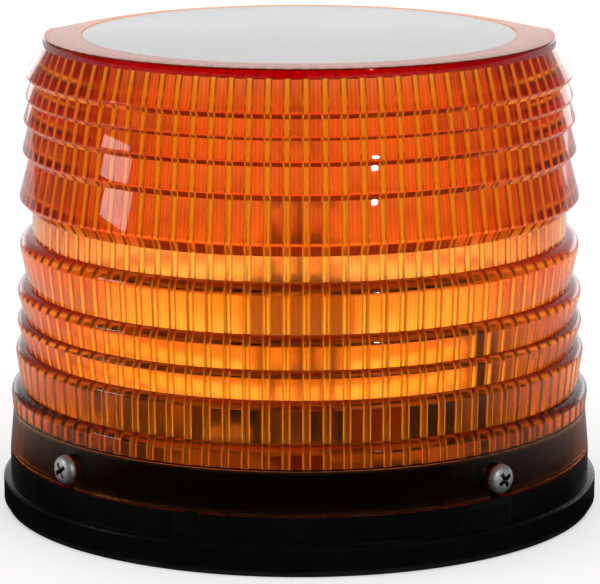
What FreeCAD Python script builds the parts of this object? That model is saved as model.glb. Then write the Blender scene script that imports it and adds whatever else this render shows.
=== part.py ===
"""Amber strobe beacon: ringed and ribbed lens on a round black base, with a flash tube and its supply inside.

Millimetres. The origin is the centre of the underside, +Z is up and -Y is the front.
"""
import FreeCAD
import Part
import math
import os

Vector = FreeCAD.Vector
UP = Vector(0, 0, 1)

# Fits
slip_gap = 0.3            # between the lens and what it is lifted off
seat_gap = 0.05           # round pieces that sit in a hole of the same body
over_cut = 1.0            # how far a cutting tool runs past the face it cuts
shortest_edge = 1e-6      # below this, two points of an outline are one

# Base
flange_diameter = 146.0
flange_thickness = 5.8
flange_edge_ease = 1.2
ledge_width = 1.8
neck_height = 6.5
spigot_height = 9.6
base_wall = 3.0
floor_thickness = 3.5
gasket_thickness = 1.5
gasket_inset = 0.8
gasket_opening_radius = 20.0
mount_circle_diameter = 100.0
mount_hole_radius = 3.4
mount_pad_radius = 8.0
mount_pad_height = 1.5
mount_count = 3
mount_first_angle = 90.0

# Cable grommet in the floor
cable_radius = 3.5
grommet_wall = 2.5
grommet_lip = 2.5
grommet_lip_thickness = 1.2

# Lens
skirt_wall = 2.8
skirt_height = 9.9
skirt_draft = 0.9
skirt_gap = 0.2           # under the skirt: the lens stands on its seal
seal_thickness = 0.6
lens_top_thickness = 3.0
rim_height = 2.2
rim_edge_ease = 0.5
belt_height = 5.9
belt_inset = 6.2
nose_flats = 4            # flats around the quarter-round nose of a lower ring
undercut_slope = 1.0      # height of an upper ring's steep face for each millimetre it stands out
upper_crest_ease = 0.6
# One row for each prism ring, bottom to top: its height, then how far its crest and its upper edge
# lie inside the skirt's radius.
lower_rings = (
    (6.4, 0.5, 2.9),
    (10.0, 1.7, 3.8),
    (7.0, 2.2, 3.9),
    (8.0, 2.4, 4.9),
    (11.9, 3.1, belt_inset),
)
upper_rings = (
    (12.8, 3.1, 5.7),
    (7.8, 4.0, 5.6),
    (5.9, 4.3, 5.8),
    (4.8, 4.9, 6.4),
    (8.7, 5.0, 9.3),
)
rib_count = 90
rib_width = 1.9           # at the foot of the bore
rib_height = 0.85
bore_foot_inset = 5.6     # the ribbed bore's radius at its foot and at its top, inside the skirt's radius
bore_top_inset = 11.2
label_diameter = 104.8
label_thickness = 0.3
label_recess = 0.4
label_edge_gap = 0.2

# Lens screws
lens_screw_count = 4
lens_screw_first_angle = 45.0
lens_screw_height = 4.8   # above the seat of the skirt
lens_screw_radius = 1.75
lens_screw_length = 12.0
lens_screw_head_radius = 3.45
lens_screw_head_height = 2.2
head_gap = 0.1
slot_side_gap = 0.4
insert_wall = 0.85
insert_length = 7.0
boss_reach = 8.0
boss_half_width = 4.6
boss_top_gap = 0.8
recess_width = 0.9
recess_span = 3.8
recess_depth = 1.5

# Circuit board
board_thickness = 1.6
board_clearance = 1.0
board_boss_height = 7.0
board_boss_radius = 4.0
board_screw_count = 3
board_screw_first_angle = 30.0
board_screw_inset = 6.1
board_screw_radius = 1.25
board_screw_length = 7.0
board_screw_head_radius = 2.8
board_screw_head_height = 1.8
bolt_access_radius = 9.0

# Flash tube and what carries it
holder_foot_radius = 12.5
holder_foot_height = 3.0
holder_radius = 11.5
holder_leg_foot_radius = 2.6
holder_leg_top_radius = 2.1
holder_lead_radius = 1.0
holder_bore_radius = 4.5
holder_edge_ease = 1.0
holder_deck = 8.0
tube_base_radius = 14.0
tube_base_height = 7.0
tube_base_rim = 2.0
tube_base_edge_ease = 0.6
dome_wall = 1.3
dome_radius = 12.5
dome_head_gap = 4.0
dome_crown = 5.0
dome_shoulder_ease = 3.0
tube_radius = 3.0
tube_wall = 0.7
leg_spacing = 13.0
arc_height = 30.0         # height of the U of glass, centred on the lens belt
leg_sink = 3.0
electrode_radius = 1.1
electrode_length = 11.0
trigger_band_thickness = 0.4
trigger_band_width = 1.6
trigger_band_height = 11.0
pin_count = 3
pin_first_angle = 90.0
pin_radius = 1.2
pin_length = 7.0
pin_inset = 3.5

# Supply on the board
capacitor_radius = 7.0
capacitor_height = 36.0
capacitor_edge_ease = 1.4
capacitor_crimp = 0.7
capacitor_places = ((47.0, -9.0), (47.5, 8.0))
core_width = 30.0
core_height = 17.0
core_depth = 11.0
core_limb = 4.5
core_centre_limb = 9.0
bobbin_wall = 0.9
winding_build = 4.4
bobbin_overhang = 5.6
transformer_place = (-38.0, 2.0)
trigger_coil_radius = 6.0
trigger_coil_height = 13.0
trigger_coil_place = (-15.0, -23.0)
film_capacitor_size = (14.0, 6.0, 11.0)
film_capacitor_place = (3.0, -24.0)
sink_width = 28.0
sink_height = 17.0
sink_plate = 2.5
sink_fin_depth = 8.5
sink_fin_width = 1.5
sink_fin_count = 6
sink_place = (-16.0, 28.0)
transistor_width = 10.0
transistor_body_height = 9.0
transistor_body_depth = 4.4
transistor_tab_height = 6.0
transistor_tab_depth = 1.3
transistor_leg_height = 2.0
transistor_leg_width = 0.9
transistor_leg_pitch = 2.54
sink_screw_radius = 1.5
sink_screw_head_radius = 2.8
sink_screw_head_height = 1.8
choke_radius = 8.0
choke_height = 13.0
choke_flange = 1.6
choke_core_radius = 3.6
choke_winding_depth = 3.6
choke_place = (17.0, 33.0)
chip_length = 19.0
chip_width = 6.4
chip_height = 3.3
chip_standoff = 0.6
chip_leg_count = 7
chip_leg_pitch = 2.54
chip_leg_width = 0.5
chip_leg_spread = 0.7
chip_place = (22.0, -27.0)
resistor_radius = 1.3
resistor_length = 6.4
resistor_span = 10.0
resistor_places = ((-24.0, -35.0), (-18.0, -36.0), (-12.0, -36.0), (-6.0, -36.0), (0.0, -36.0))
diode_radius = 1.5
diode_length = 5.2
diode_span = 9.0
diode_places = ((-19.0, 16.5), (-23.5, 16.5), (-28.0, 23.5))
lead_width = 0.6
lead_rise = 0.9
terminal_size = (11.0, 8.0, 10.0)
terminal_pitch = 5.0
terminal_screw_radius = 1.7
terminal_screw_sink = 3.0
terminal_entry_radius = 1.5
terminal_entry_height = 3.0
terminal_place = (15.0, -43.0)

# Radii that follow from those sizes
flange_radius = flange_diameter / 2
skirt_radius = flange_radius - ledge_width
skirt_bore_radius = skirt_radius - skirt_wall
spigot_radius = skirt_bore_radius - slip_gap
cavity_radius = spigot_radius - base_wall
boss_inner_radius = cavity_radius - boss_reach
board_radius = boss_inner_radius - board_clearance
board_screw_circle_radius = board_radius - board_screw_inset
mount_circle_radius = mount_circle_diameter / 2
label_radius = label_diameter / 2
pin_circle_radius = holder_radius - pin_inset
head_seat_radius = skirt_radius + head_gap
insert_radius = lens_screw_radius + insert_wall
grommet_body_radius = cable_radius + grommet_wall

# Heights that follow from those sizes
floor_top = gasket_thickness + floor_thickness
flange_top = gasket_thickness + flange_thickness
neck_top = flange_top + neck_height
spigot_top = neck_top + spigot_height
lens_foot = neck_top + skirt_gap
lens_shoulder = spigot_top + seal_thickness
belt_foot = lens_foot + skirt_height + sum(ring[0] for ring in lower_rings)
belt_middle = belt_foot + belt_height / 2
lens_top = belt_foot + belt_height + sum(ring[0] for ring in upper_rings) + rim_height
bore_top = lens_top - lens_top_thickness
lens_screw_level = neck_top + lens_screw_height
board_under = floor_top + board_boss_height
board_top = board_under + board_thickness
tube_top = belt_middle + arc_height / 2
tube_base_top = tube_top - arc_height
tube_base_under = tube_base_top - tube_base_height
leg_foot = tube_base_top - leg_sink


def polar(radius, degrees, z=0.0):
    """Point at a radius and an angle from +X."""
    angle = math.radians(degrees)
    return Vector(radius * math.cos(angle), radius * math.sin(angle), z)


def spread(count, first_angle):
    """Evenly spaced angles round the axis."""
    return [first_angle + 360.0 / count * index for index in range(count)]


def eased_wire(corners, eased_by_arcs):
    """Closed wire in the XZ plane through (x, z) or (x, z, ease) corners.

    An eased corner is cut back by that length on both sides, or as far as the sides allow, and crossed by a
    tangent arc or by a straight bevel."""
    points = [Vector(corner[0], 0, corner[1]) for corner in corners]
    starts = []
    ends = []
    edges = []
    for index, corner in enumerate(points):
        before = points[index - 1] - corner
        after = points[(index + 1) % len(points)] - corner
        ease = corners[index][2] if len(corners[index]) > 2 else 0.0
        ease = min(ease, 0.45 * before.Length, 0.45 * after.Length)
        starts.append(corner + before.normalize() * ease)
        ends.append(corner + after.normalize() * ease)
        if ease and eased_by_arcs:
            half_angle = before.getAngle(after) / 2
            middle = (before + after).normalize() * ease * (1 - math.sin(half_angle)) / math.cos(half_angle)
            edges.append(Part.Arc(starts[-1], corner + middle, ends[-1]).toShape())
        elif ease:
            edges.append(Part.LineSegment(starts[-1], ends[-1]).toShape())
    for index, end in enumerate(ends):
        following = starts[(index + 1) % len(starts)]
        if (following - end).Length > shortest_edge:
            edges.append(Part.LineSegment(end, following).toShape())
    return Part.Wire(Part.__sortEdges__(edges))


def turned(corners, eased_by_arcs=False):
    """Solid of revolution about Z from (radius, z[, ease]) corners."""
    return Part.Face(eased_wire(corners, eased_by_arcs)).revolve(Vector(0, 0, 0), UP, 360)


def cylinder(radius, bottom, top, x=0.0, y=0.0):
    return Part.makeCylinder(radius, top - bottom, Vector(x, y, bottom), UP)


def ring(outer, inner, bottom, top):
    return cylinder(outer, bottom, top).cut(cylinder(inner, bottom - over_cut, top + over_cut))


def radial_cylinder(radius, inner_end, outer_end, degrees, level):
    """Cylinder lying along a radius of the beacon."""
    start = polar(inner_end, degrees, level)
    return Part.makeCylinder(radius, outer_end - inner_end, start, polar(1, degrees))


def block(size, place, bottom):
    """Box centred on a place, standing on a height."""
    corner = Vector(place[0] - size[0] / 2, place[1] - size[1] / 2, bottom)
    return Part.makeBox(size[0], size[1], size[2], corner)


def join(first, *others):
    return first.fuse(list(others)).removeSplitter()


def compound(solids):
    return Part.makeCompound(solids)


# Base

def boss_for_lens_screw(degrees):
    """Boss on the inside of the spigot wall, round-nosed, that takes one lens screw."""
    top = spigot_top - boss_top_gap
    nose_centre = boss_inner_radius + boss_half_width
    middle_of_wall = (spigot_radius + cavity_radius) / 2
    nose = cylinder(boss_half_width, floor_top, top, nose_centre)
    body = block(
        (middle_of_wall - nose_centre, 2 * boss_half_width, top - floor_top),
        ((middle_of_wall + nose_centre) / 2, 0.0),
        floor_top,
    )
    boss = join(nose, body)
    boss.rotate(Vector(0, 0, 0), UP, degrees)
    return boss


def base_housing():
    shell = turned([
        (0, gasket_thickness),
        (flange_radius, gasket_thickness),
        (flange_radius, flange_top, flange_edge_ease),
        (skirt_radius, flange_top),
        (skirt_radius, neck_top),
        (spigot_radius, neck_top),
        (spigot_radius, spigot_top),
        (cavity_radius, spigot_top),
        (cavity_radius, floor_top),
        (0, floor_top),
    ], True)
    added = [boss_for_lens_screw(angle) for angle in spread(lens_screw_count, lens_screw_first_angle)]
    cut = [cylinder(grommet_body_radius + seat_gap, 0, floor_top + over_cut)]
    for angle in spread(board_screw_count, board_screw_first_angle):
        place = polar(board_screw_circle_radius, angle)
        added.append(cylinder(board_boss_radius, floor_top, board_under, place.x, place.y))
        pilot_foot = board_top - board_screw_length - over_cut
        cut.append(cylinder(board_screw_radius + seat_gap, pilot_foot, board_top, place.x, place.y))
    for angle in spread(mount_count, mount_first_angle):
        place = polar(mount_circle_radius, angle)
        pad_top = floor_top + mount_pad_height
        added.append(cylinder(mount_pad_radius, floor_top, pad_top, place.x, place.y))
        cut.append(cylinder(mount_hole_radius, 0, pad_top + over_cut, place.x, place.y))
    insert_seat = spigot_radius - insert_length - seat_gap
    screw_seat = head_seat_radius - lens_screw_length - over_cut
    for angle in spread(lens_screw_count, lens_screw_first_angle):
        cut.append(radial_cylinder(
            insert_radius + seat_gap, insert_seat, spigot_radius + over_cut, angle, lens_screw_level))
        cut.append(radial_cylinder(
            lens_screw_radius + seat_gap, screw_seat, spigot_radius, angle, lens_screw_level))
    return join(shell, *added).cut(cut)


def mounting_gasket():
    pad = ring(flange_radius - gasket_inset, gasket_opening_radius, 0, gasket_thickness)
    holes = []
    for angle in spread(mount_count, mount_first_angle):
        place = polar(mount_circle_radius, angle)
        holes.append(cylinder(mount_hole_radius, -over_cut, gasket_thickness + over_cut, place.x, place.y))
    return pad.cut(holes)


def cable_grommet():
    lip_radius = grommet_body_radius + grommet_lip
    lip_foot = gasket_thickness - grommet_lip_thickness
    lip_top = floor_top + grommet_lip_thickness
    lip_round = grommet_lip_thickness * 0.4
    return turned([
        (cable_radius, lip_foot),
        (lip_radius, lip_foot, lip_round),
        (lip_radius, gasket_thickness),
        (grommet_body_radius, gasket_thickness),
        (grommet_body_radius, floor_top),
        (lip_radius, floor_top),
        (lip_radius, lip_top, lip_round),
        (cable_radius, lip_top),
    ])


# Lens

def ring_nose(edge_radius, top, depth):
    """Quarter-round nose of a lower ring, from its crest to its upper edge."""
    corners = []
    for step in range(nose_flats + 1):
        turn = math.pi / 2 * step / nose_flats
        corners.append((edge_radius + depth * math.cos(turn), top - depth + depth * math.sin(turn)))
    return corners


def lens_outline():
    """Outer profile of the lens from the foot of its skirt to the middle of its top."""
    corners = [(0, lens_foot), (skirt_radius, lens_foot)]
    level = lens_foot + skirt_height
    corners.append((skirt_radius - skirt_draft, level))
    for height, crest_inset, edge_inset in lower_rings:
        level += height
        corners += ring_nose(skirt_radius - edge_inset, level, edge_inset - crest_inset)
    edge_below = belt_inset
    level += belt_height
    corners.append((skirt_radius - belt_inset, level))
    for height, crest_inset, edge_inset in upper_rings:
        steep_face = (edge_below - crest_inset) * undercut_slope
        corners.append((skirt_radius - crest_inset, level + steep_face, upper_crest_ease))
        level += height
        corners.append((skirt_radius - edge_inset, level))
        edge_below = edge_inset
    corners.append((skirt_radius - edge_below, lens_top, rim_edge_ease))
    recess_radius = label_radius + label_edge_gap
    corners.append((recess_radius, lens_top))
    corners.append((recess_radius, lens_top - label_recess))
    corners.append((0, lens_top - label_recess))
    return corners


def ribbed_loop(radius, level):
    """Section of the bore of the lens at one height: round lands, with half-round ribs between them."""
    step = 360.0 / rib_count
    half_rib = math.degrees(rib_width / 2 / (skirt_radius - bore_foot_inset))
    arcs = []
    for index in range(rib_count):
        crest = step * index
        rib_start = polar(radius, crest - half_rib, level)
        rib_middle = polar(radius - rib_height, crest, level)
        rib_end = polar(radius, crest + half_rib, level)
        land_middle = polar(radius, crest + step / 2, level)
        land_end = polar(radius, crest + step - half_rib, level)
        arcs.append(Part.Arc(rib_start, rib_middle, rib_end).toShape())
        arcs.append(Part.Arc(rib_end, land_middle, land_end).toShape())
    return Part.Wire(arcs)


def screw_slot(degrees):
    """Open-ended slot in the skirt, so that the lens lifts off over slackened screws."""
    half_width = lens_screw_radius + slot_side_gap
    reach = (skirt_bore_radius - over_cut, skirt_radius + over_cut)
    round_end = Part.makeCylinder(
        half_width, reach[1] - reach[0], Vector(reach[0], 0, lens_screw_level), Vector(1, 0, 0))
    slot_foot = lens_foot - over_cut
    straight = Part.makeBox(
        reach[1] - reach[0], 2 * half_width, lens_screw_level - slot_foot,
        Vector(reach[0], -half_width, slot_foot))
    slot = join(round_end, straight)
    slot.rotate(Vector(0, 0, 0), UP, degrees)
    return slot


def lens():
    body = turned(lens_outline())
    bore = Part.makeLoft(
        [
            ribbed_loop(skirt_radius - bore_foot_inset, lens_shoulder),
            ribbed_loop(skirt_radius - bore_top_inset, bore_top),
        ],
        True,
        True,
    )
    mouth = cylinder(skirt_bore_radius, lens_foot - over_cut, lens_shoulder)
    slots = [screw_slot(angle) for angle in spread(lens_screw_count, lens_screw_first_angle)]
    return body.cut(bore).cut([mouth] + slots)


def lens_label():
    foot = lens_top - label_recess
    return cylinder(label_radius, foot, foot + label_thickness)


def lens_seal():
    return ring(spigot_radius, cavity_radius, spigot_top, lens_shoulder)


def cross_recess(top):
    """Cutter for a cross recess in a screw head that faces +Z."""
    size = (recess_span, recess_width, recess_depth + over_cut)
    bar = block(size, (0, 0), top - recess_depth)
    crossing = bar.copy()
    crossing.rotate(Vector(0, 0, 0), UP, 90)
    return join(bar, crossing)


def pan_head_screw(shank_radius, length, head_radius, head_height):
    """Cross-recess pan-head screw with its head on +Z and the underside of the head at zero."""
    screw = turned([
        (0, -length),
        (shank_radius, -length, shank_radius * 0.4),
        (shank_radius, 0),
        (head_radius, 0),
        (head_radius, head_height, head_height * 0.85),
        (0, head_height),
    ])
    return screw.cut(cross_recess(head_height))


def lens_screws():
    screws = []
    for angle in spread(lens_screw_count, lens_screw_first_angle):
        screw = pan_head_screw(
            lens_screw_radius, lens_screw_length, lens_screw_head_radius, lens_screw_head_height)
        screw.rotate(Vector(0, 0, 0), Vector(0, 1, 0), 90)
        screw.translate(Vector(head_seat_radius, 0, lens_screw_level))
        screw.rotate(Vector(0, 0, 0), UP, angle)
        screws.append(screw)
    return compound(screws)


def screw_inserts():
    inserts = []
    inner_end = spigot_radius - insert_length
    for angle in spread(lens_screw_count, lens_screw_first_angle):
        outside = radial_cylinder(insert_radius, inner_end, spigot_radius, angle, lens_screw_level)
        bore = radial_cylinder(
            lens_screw_radius + seat_gap, inner_end - over_cut, spigot_radius + over_cut, angle,
            lens_screw_level)
        inserts.append(outside.cut(bore))
    return compound(inserts)


# Circuit board

def circuit_board():
    disc = cylinder(board_radius, board_under, board_top)
    cut = []
    for angle in spread(mount_count, mount_first_angle):
        place = polar(mount_circle_radius, angle)
        notch = cylinder(bolt_access_radius, board_under - over_cut, board_top + over_cut, place.x, place.y)
        mouth = Part.makeBox(
            board_radius, 2 * bolt_access_radius, board_thickness + 2 * over_cut,
            Vector(mount_circle_radius, -bolt_access_radius, board_under - over_cut))
        mouth.rotate(Vector(0, 0, 0), UP, angle)
        cut += [notch, mouth]
    for angle in spread(board_screw_count, board_screw_first_angle):
        place = polar(board_screw_circle_radius, angle)
        hole_radius = board_screw_radius + seat_gap
        cut.append(cylinder(hole_radius, board_under - over_cut, board_top + over_cut, place.x, place.y))
    return disc.cut(cut)


def board_screws():
    screws = []
    for angle in spread(board_screw_count, board_screw_first_angle):
        screw = pan_head_screw(
            board_screw_radius, board_screw_length, board_screw_head_radius, board_screw_head_height)
        screw.translate(polar(board_screw_circle_radius, angle, board_top))
        screws.append(screw)
    return compound(screws)


# Flash tube

def tube_holder():
    """Open stand: a foot ring, a hollow leg under each pin of the tube base, and a deck for the pins."""
    foot_top = board_top + holder_foot_height
    deck_under = tube_base_under - holder_deck
    foot = turned([
        (holder_bore_radius, board_top),
        (holder_foot_radius, board_top),
        (holder_foot_radius, foot_top, holder_edge_ease),
        (holder_bore_radius, foot_top, holder_edge_ease),
    ])
    deck = turned([
        (0, deck_under),
        (holder_radius, deck_under, holder_edge_ease),
        (holder_radius, tube_base_under),
        (0, tube_base_under),
    ])
    legs = []
    cuts = []
    for angle in spread(pin_count, pin_first_angle):
        place = polar(pin_circle_radius, angle)
        legs.append(Part.makeCone(
            holder_leg_foot_radius, holder_leg_top_radius, tube_base_under - board_top,
            Vector(place.x, place.y, board_top)))
        cuts.append(cylinder(holder_lead_radius, board_top - over_cut, tube_base_under, place.x, place.y))
        cuts.append(cylinder(
            pin_radius + seat_gap, tube_base_under - pin_length - seat_gap, tube_base_under + over_cut,
            place.x, place.y))
    return join(foot, deck, *legs).cut(cuts)


def tube_base():
    """Ceramic plug-in base with a rim round the foot of the glass dome and two wells for the tube legs."""
    body = turned([
        (0, tube_base_under),
        (tube_base_radius, tube_base_under, tube_base_edge_ease),
        (tube_base_radius, tube_base_top + tube_base_rim, tube_base_edge_ease),
        (dome_radius + seat_gap, tube_base_top + tube_base_rim),
        (dome_radius + seat_gap, tube_base_top),
        (0, tube_base_top),
    ])
    wells = [
        cylinder(tube_radius + seat_gap, leg_foot, tube_base_top + over_cut, side * leg_spacing / 2)
        for side in (-1, 1)
    ]
    return body.cut(wells)


def tube_pins():
    pins = []
    for angle in spread(pin_count, pin_first_angle):
        place = polar(pin_circle_radius, angle)
        pin = turned([
            (0, tube_base_under - pin_length),
            (pin_radius, tube_base_under - pin_length, pin_radius * 0.6),
            (pin_radius, tube_base_under),
            (0, tube_base_under),
        ])
        pin.translate(place)
        pins.append(pin)
    return compound(pins)


def bent_rod(radius):
    """U-shaped rod on the centreline of the flash tube."""
    bend_radius = leg_spacing / 2
    bend_level = tube_top - tube_radius - bend_radius
    bend = Part.makeTorus(bend_radius, radius, Vector(0, 0, 0), UP, -180, 180, 180)
    bend.rotate(Vector(0, 0, 0), Vector(1, 0, 0), 90)
    bend.translate(Vector(0, 0, bend_level))
    legs = [cylinder(radius, leg_foot, bend_level, side * bend_radius) for side in (-1, 1)]
    return join(bend, *legs)


def flash_tube():
    return bent_rod(tube_radius).cut(bent_rod(tube_radius - tube_wall))


def tube_electrodes():
    electrodes = []
    for side in (-1, 1):
        stem_top = leg_foot + electrode_length * 0.6
        tip = turned([
            (0, leg_foot),
            (electrode_radius * 0.5, leg_foot),
            (electrode_radius * 0.5, stem_top),
            (electrode_radius, stem_top),
            (electrode_radius, leg_foot + electrode_length, electrode_radius * 0.4),
            (0, leg_foot + electrode_length),
        ])
        tip.translate(Vector(side * leg_spacing / 2, 0, 0))
        electrodes.append(tip)
    return compound(electrodes)


def trigger_band():
    """Metal strap round each leg of the tube, linked and led down to the tube base."""
    foot = tube_base_top + trigger_band_height
    top = foot + trigger_band_width
    inner = tube_radius + seat_gap
    outer = inner + trigger_band_thickness
    straps = []
    for side in (-1, 1):
        strap = ring(outer, inner, foot, top)
        strap.translate(Vector(side * leg_spacing / 2, 0, 0))
        straps.append(strap)
    link_length = leg_spacing - inner - outer
    link = block((link_length, trigger_band_thickness, trigger_band_width), (0, 0), foot)
    lead_size = (trigger_band_width, trigger_band_thickness, trigger_band_height + trigger_band_width)
    lead = block(lead_size, (0, 0), tube_base_top)
    return join(link, lead, *straps)


def tube_dome():
    """Closed-end glass cover over the flash tube, with a crowned top."""
    dome_top = tube_top + dome_head_gap + dome_wall
    inner_radius = dome_radius - dome_wall
    shoulder = dome_top - dome_crown
    return turned([
        (inner_radius, tube_base_top),
        (dome_radius, tube_base_top),
        (dome_radius, shoulder, dome_shoulder_ease),
        (dome_radius * 0.5, dome_top, dome_crown),
        (0, dome_top),
        (0, dome_top - dome_wall),
        (inner_radius * 0.5, dome_top - dome_wall, dome_crown),
        (inner_radius, shoulder, dome_shoulder_ease),
    ])


# Supply on the board

def storage_capacitors():
    """Electrolytic cans with a rolled crimp above the foot."""
    crimp_level = board_top + 3 * capacitor_crimp + capacitor_edge_ease
    cans = []
    for x, y in capacitor_places:
        can = turned([
            (0, board_top),
            (capacitor_radius, board_top, capacitor_edge_ease),
            (capacitor_radius, crimp_level - capacitor_crimp),
            (capacitor_radius - capacitor_crimp, crimp_level, capacitor_crimp),
            (capacitor_radius, crimp_level + capacitor_crimp),
            (capacitor_radius, board_top + capacitor_height, capacitor_edge_ease),
            (0, board_top + capacitor_height),
        ])
        can.translate(Vector(x, y, 0))
        cans.append(can)
    return compound(cans)


def transformer_window():
    """Width and height of each of the two openings in the transformer core."""
    width = (core_width - 2 * core_limb - core_centre_limb) / 2
    return width, core_height - 2 * core_limb


def transformer_core():
    core = block((core_depth, core_width, core_height), transformer_place, board_top)
    window_width, window_height = transformer_window()
    offset = (core_centre_limb + window_width) / 2
    windows = []
    for side in (-1, 1):
        place = (transformer_place[0], transformer_place[1] + side * offset)
        windows.append(block(
            (core_depth + 2 * over_cut, window_width, window_height), place, board_top + core_limb))
    return core.cut(windows)


def sleeve(inner_x, inner_y, build, bottom, top, place):
    """Rectangular tube with rounded outer corners."""
    outer = block((inner_x + 2 * build, inner_y + 2 * build, top - bottom), place, bottom)
    corners = [edge for edge in outer.Edges if abs(edge.tangentAt(edge.FirstParameter).z) > 0.9]
    outer = outer.makeFillet(build * 0.9, corners)
    inner = block((inner_x, inner_y, top - bottom + 2 * over_cut), place, bottom - over_cut)
    return outer.cut(inner)


def transformer_bobbin():
    bottom = board_top + core_limb
    top = bottom + transformer_window()[1]
    window_width = transformer_window()[0]
    tube = sleeve(core_depth, core_centre_limb, bobbin_wall, bottom, top, transformer_place)
    flange_size = (
        core_depth + 2 * bobbin_overhang, core_centre_limb + 2 * window_width - 2 * seat_gap, bobbin_wall)
    hole_size = (core_depth, core_centre_limb, bobbin_wall + 2 * over_cut)
    flanges = []
    for level in (bottom, top - bobbin_wall):
        flange = block(flange_size, transformer_place, level)
        flanges.append(flange.cut(block(hole_size, transformer_place, level - over_cut)))
    return join(tube, *flanges)


def transformer_winding():
    bottom = board_top + core_limb + bobbin_wall
    top = board_top + core_height - core_limb - bobbin_wall
    return sleeve(
        core_depth + 2 * bobbin_wall, core_centre_limb + 2 * bobbin_wall, winding_build, bottom, top,
        transformer_place)


def trigger_coil():
    """Potted coil former with a flange at each end and a terminal stub on top."""
    flange = trigger_coil_height * 0.12
    drum_radius = trigger_coil_radius * 0.86
    top = board_top + trigger_coil_height
    coil = turned([
        (0, board_top),
        (trigger_coil_radius, board_top),
        (trigger_coil_radius, board_top + flange),
        (drum_radius, board_top + flange),
        (drum_radius, top - flange),
        (trigger_coil_radius, top - flange),
        (trigger_coil_radius, top, flange * 0.3),
        (0, top),
    ])
    coil.translate(Vector(trigger_coil_place[0], trigger_coil_place[1], 0))
    return coil


def trigger_capacitor():
    body = block(film_capacitor_size, film_capacitor_place, board_top)
    upper_edges = [edge for edge in body.Edges if edge.CenterOfMass.z > board_top + over_cut]
    return body.makeFillet(film_capacitor_size[1] * 0.2, upper_edges)


def heat_sink():
    """Extruded comb of cooling fins behind a flat plate."""
    half_width = sink_width / 2
    pitch = (sink_width - sink_fin_width) / (sink_fin_count - 1)
    plate_back = sink_plate
    fin_back = sink_plate + sink_fin_depth
    outline = [(-half_width, 0), (half_width, 0)]
    for index in reversed(range(sink_fin_count)):
        left = -half_width + pitch * index
        right = left + sink_fin_width
        outline += [(right, plate_back)] if index < sink_fin_count - 1 else []
        outline += [(right, fin_back), (left, fin_back)]
        outline += [(left, plate_back)] if index else []
    points = [Vector(sink_place[0] + x, sink_place[1] + y, board_top) for x, y in outline]
    comb = Part.Face(Part.makePolygon(points + points[:1])).extrude(Vector(0, 0, sink_height))
    return comb.cut(sink_screw_hole())


def tab_level():
    """Height of the screw through the transistor's tab."""
    return board_top + transistor_leg_height + transistor_body_height + transistor_tab_height / 2


def sink_screw_hole():
    start = Vector(sink_place[0], sink_place[1] - transistor_body_depth, tab_level())
    reach = transistor_body_depth + sink_plate + over_cut
    return Part.makeCylinder(sink_screw_radius + seat_gap, reach, start, Vector(0, 1, 0))


def power_transistor():
    """Tab package that stands on its legs with its back against the heat sink."""
    x, back = sink_place
    body_foot = board_top + transistor_leg_height
    body = block(
        (transistor_width, transistor_body_depth, transistor_body_height),
        (x, back - transistor_body_depth / 2), body_foot)
    tab = block(
        (transistor_width, transistor_tab_depth, transistor_tab_height + over_cut),
        (x, back - transistor_tab_depth / 2), body_foot + transistor_body_height - over_cut)
    legs = []
    for index in (-1, 0, 1):
        legs.append(block(
            (transistor_leg_width, transistor_leg_width * 0.6, transistor_leg_height + over_cut),
            (x + index * transistor_leg_pitch, back - transistor_body_depth * 0.6), board_top))
    return join(body, tab, *legs).cut(sink_screw_hole())


def heat_sink_screw():
    length = transistor_tab_depth + sink_plate
    screw = pan_head_screw(sink_screw_radius, length, sink_screw_head_radius, sink_screw_head_height)
    screw.rotate(Vector(0, 0, 0), Vector(1, 0, 0), 90)
    screw.translate(Vector(sink_place[0], sink_place[1] - transistor_tab_depth, tab_level()))
    return screw


def choke_core():
    """Ferrite drum."""
    top = board_top + choke_height
    core = turned([
        (0, board_top),
        (choke_radius, board_top, choke_flange * 0.3),
        (choke_radius, board_top + choke_flange),
        (choke_core_radius, board_top + choke_flange),
        (choke_core_radius, top - choke_flange),
        (choke_radius, top - choke_flange),
        (choke_radius, top, choke_flange * 0.3),
        (0, top),
    ])
    core.translate(Vector(choke_place[0], choke_place[1], 0))
    return core


def choke_winding():
    inner = choke_core_radius + seat_gap
    winding = ring(
        inner + choke_winding_depth, inner, board_top + choke_flange, board_top + choke_height - choke_flange)
    winding.translate(Vector(choke_place[0], choke_place[1], 0))
    return winding


def control_chip():
    """Dual in-line package."""
    body = block((chip_length, chip_width, chip_height), chip_place, board_top + chip_standoff)
    shoulder = chip_standoff + chip_height / 2
    legs = []
    for side in (-1, 1):
        for index in range(chip_leg_count):
            x = chip_place[0] + (index - (chip_leg_count - 1) / 2) * chip_leg_pitch
            y = chip_place[1] + side * (chip_width + chip_leg_spread) / 2
            leg_size = (chip_leg_width, chip_leg_spread + chip_leg_width, shoulder)
            legs.append(block(leg_size, (x, y), board_top))
    return join(body, *legs)


def axial_part(radius, length, span):
    """Axial component that lies along Y at the origin, its flattened leads bent down on the board."""
    axis_level = board_top + radius + lead_rise
    half = length / 2
    body = turned([(0, -half), (radius, -half, radius * 0.3), (radius, half, radius * 0.3), (0, half)])
    body.rotate(Vector(0, 0, 0), Vector(1, 0, 0), 90)
    body.translate(Vector(0, 0, axis_level))
    wire = block((lead_width, span, lead_width), (0, 0), axis_level - lead_width / 2)
    leg_offset = (span - lead_width) / 2
    legs = [block((lead_width, lead_width, axis_level - board_top), (0, side * leg_offset), board_top)
            for side in (-1, 1)]
    return join(body, wire, *legs)


def placed_copies(solid, places):
    copies = []
    for x, y in places:
        copy = solid.copy()
        copy.translate(Vector(x, y, 0))
        copies.append(copy)
    return compound(copies)


def resistors():
    return placed_copies(axial_part(resistor_radius, resistor_length, resistor_span), resistor_places)


def diodes():
    return placed_copies(axial_part(diode_radius, diode_length, diode_span), diode_places)


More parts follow.
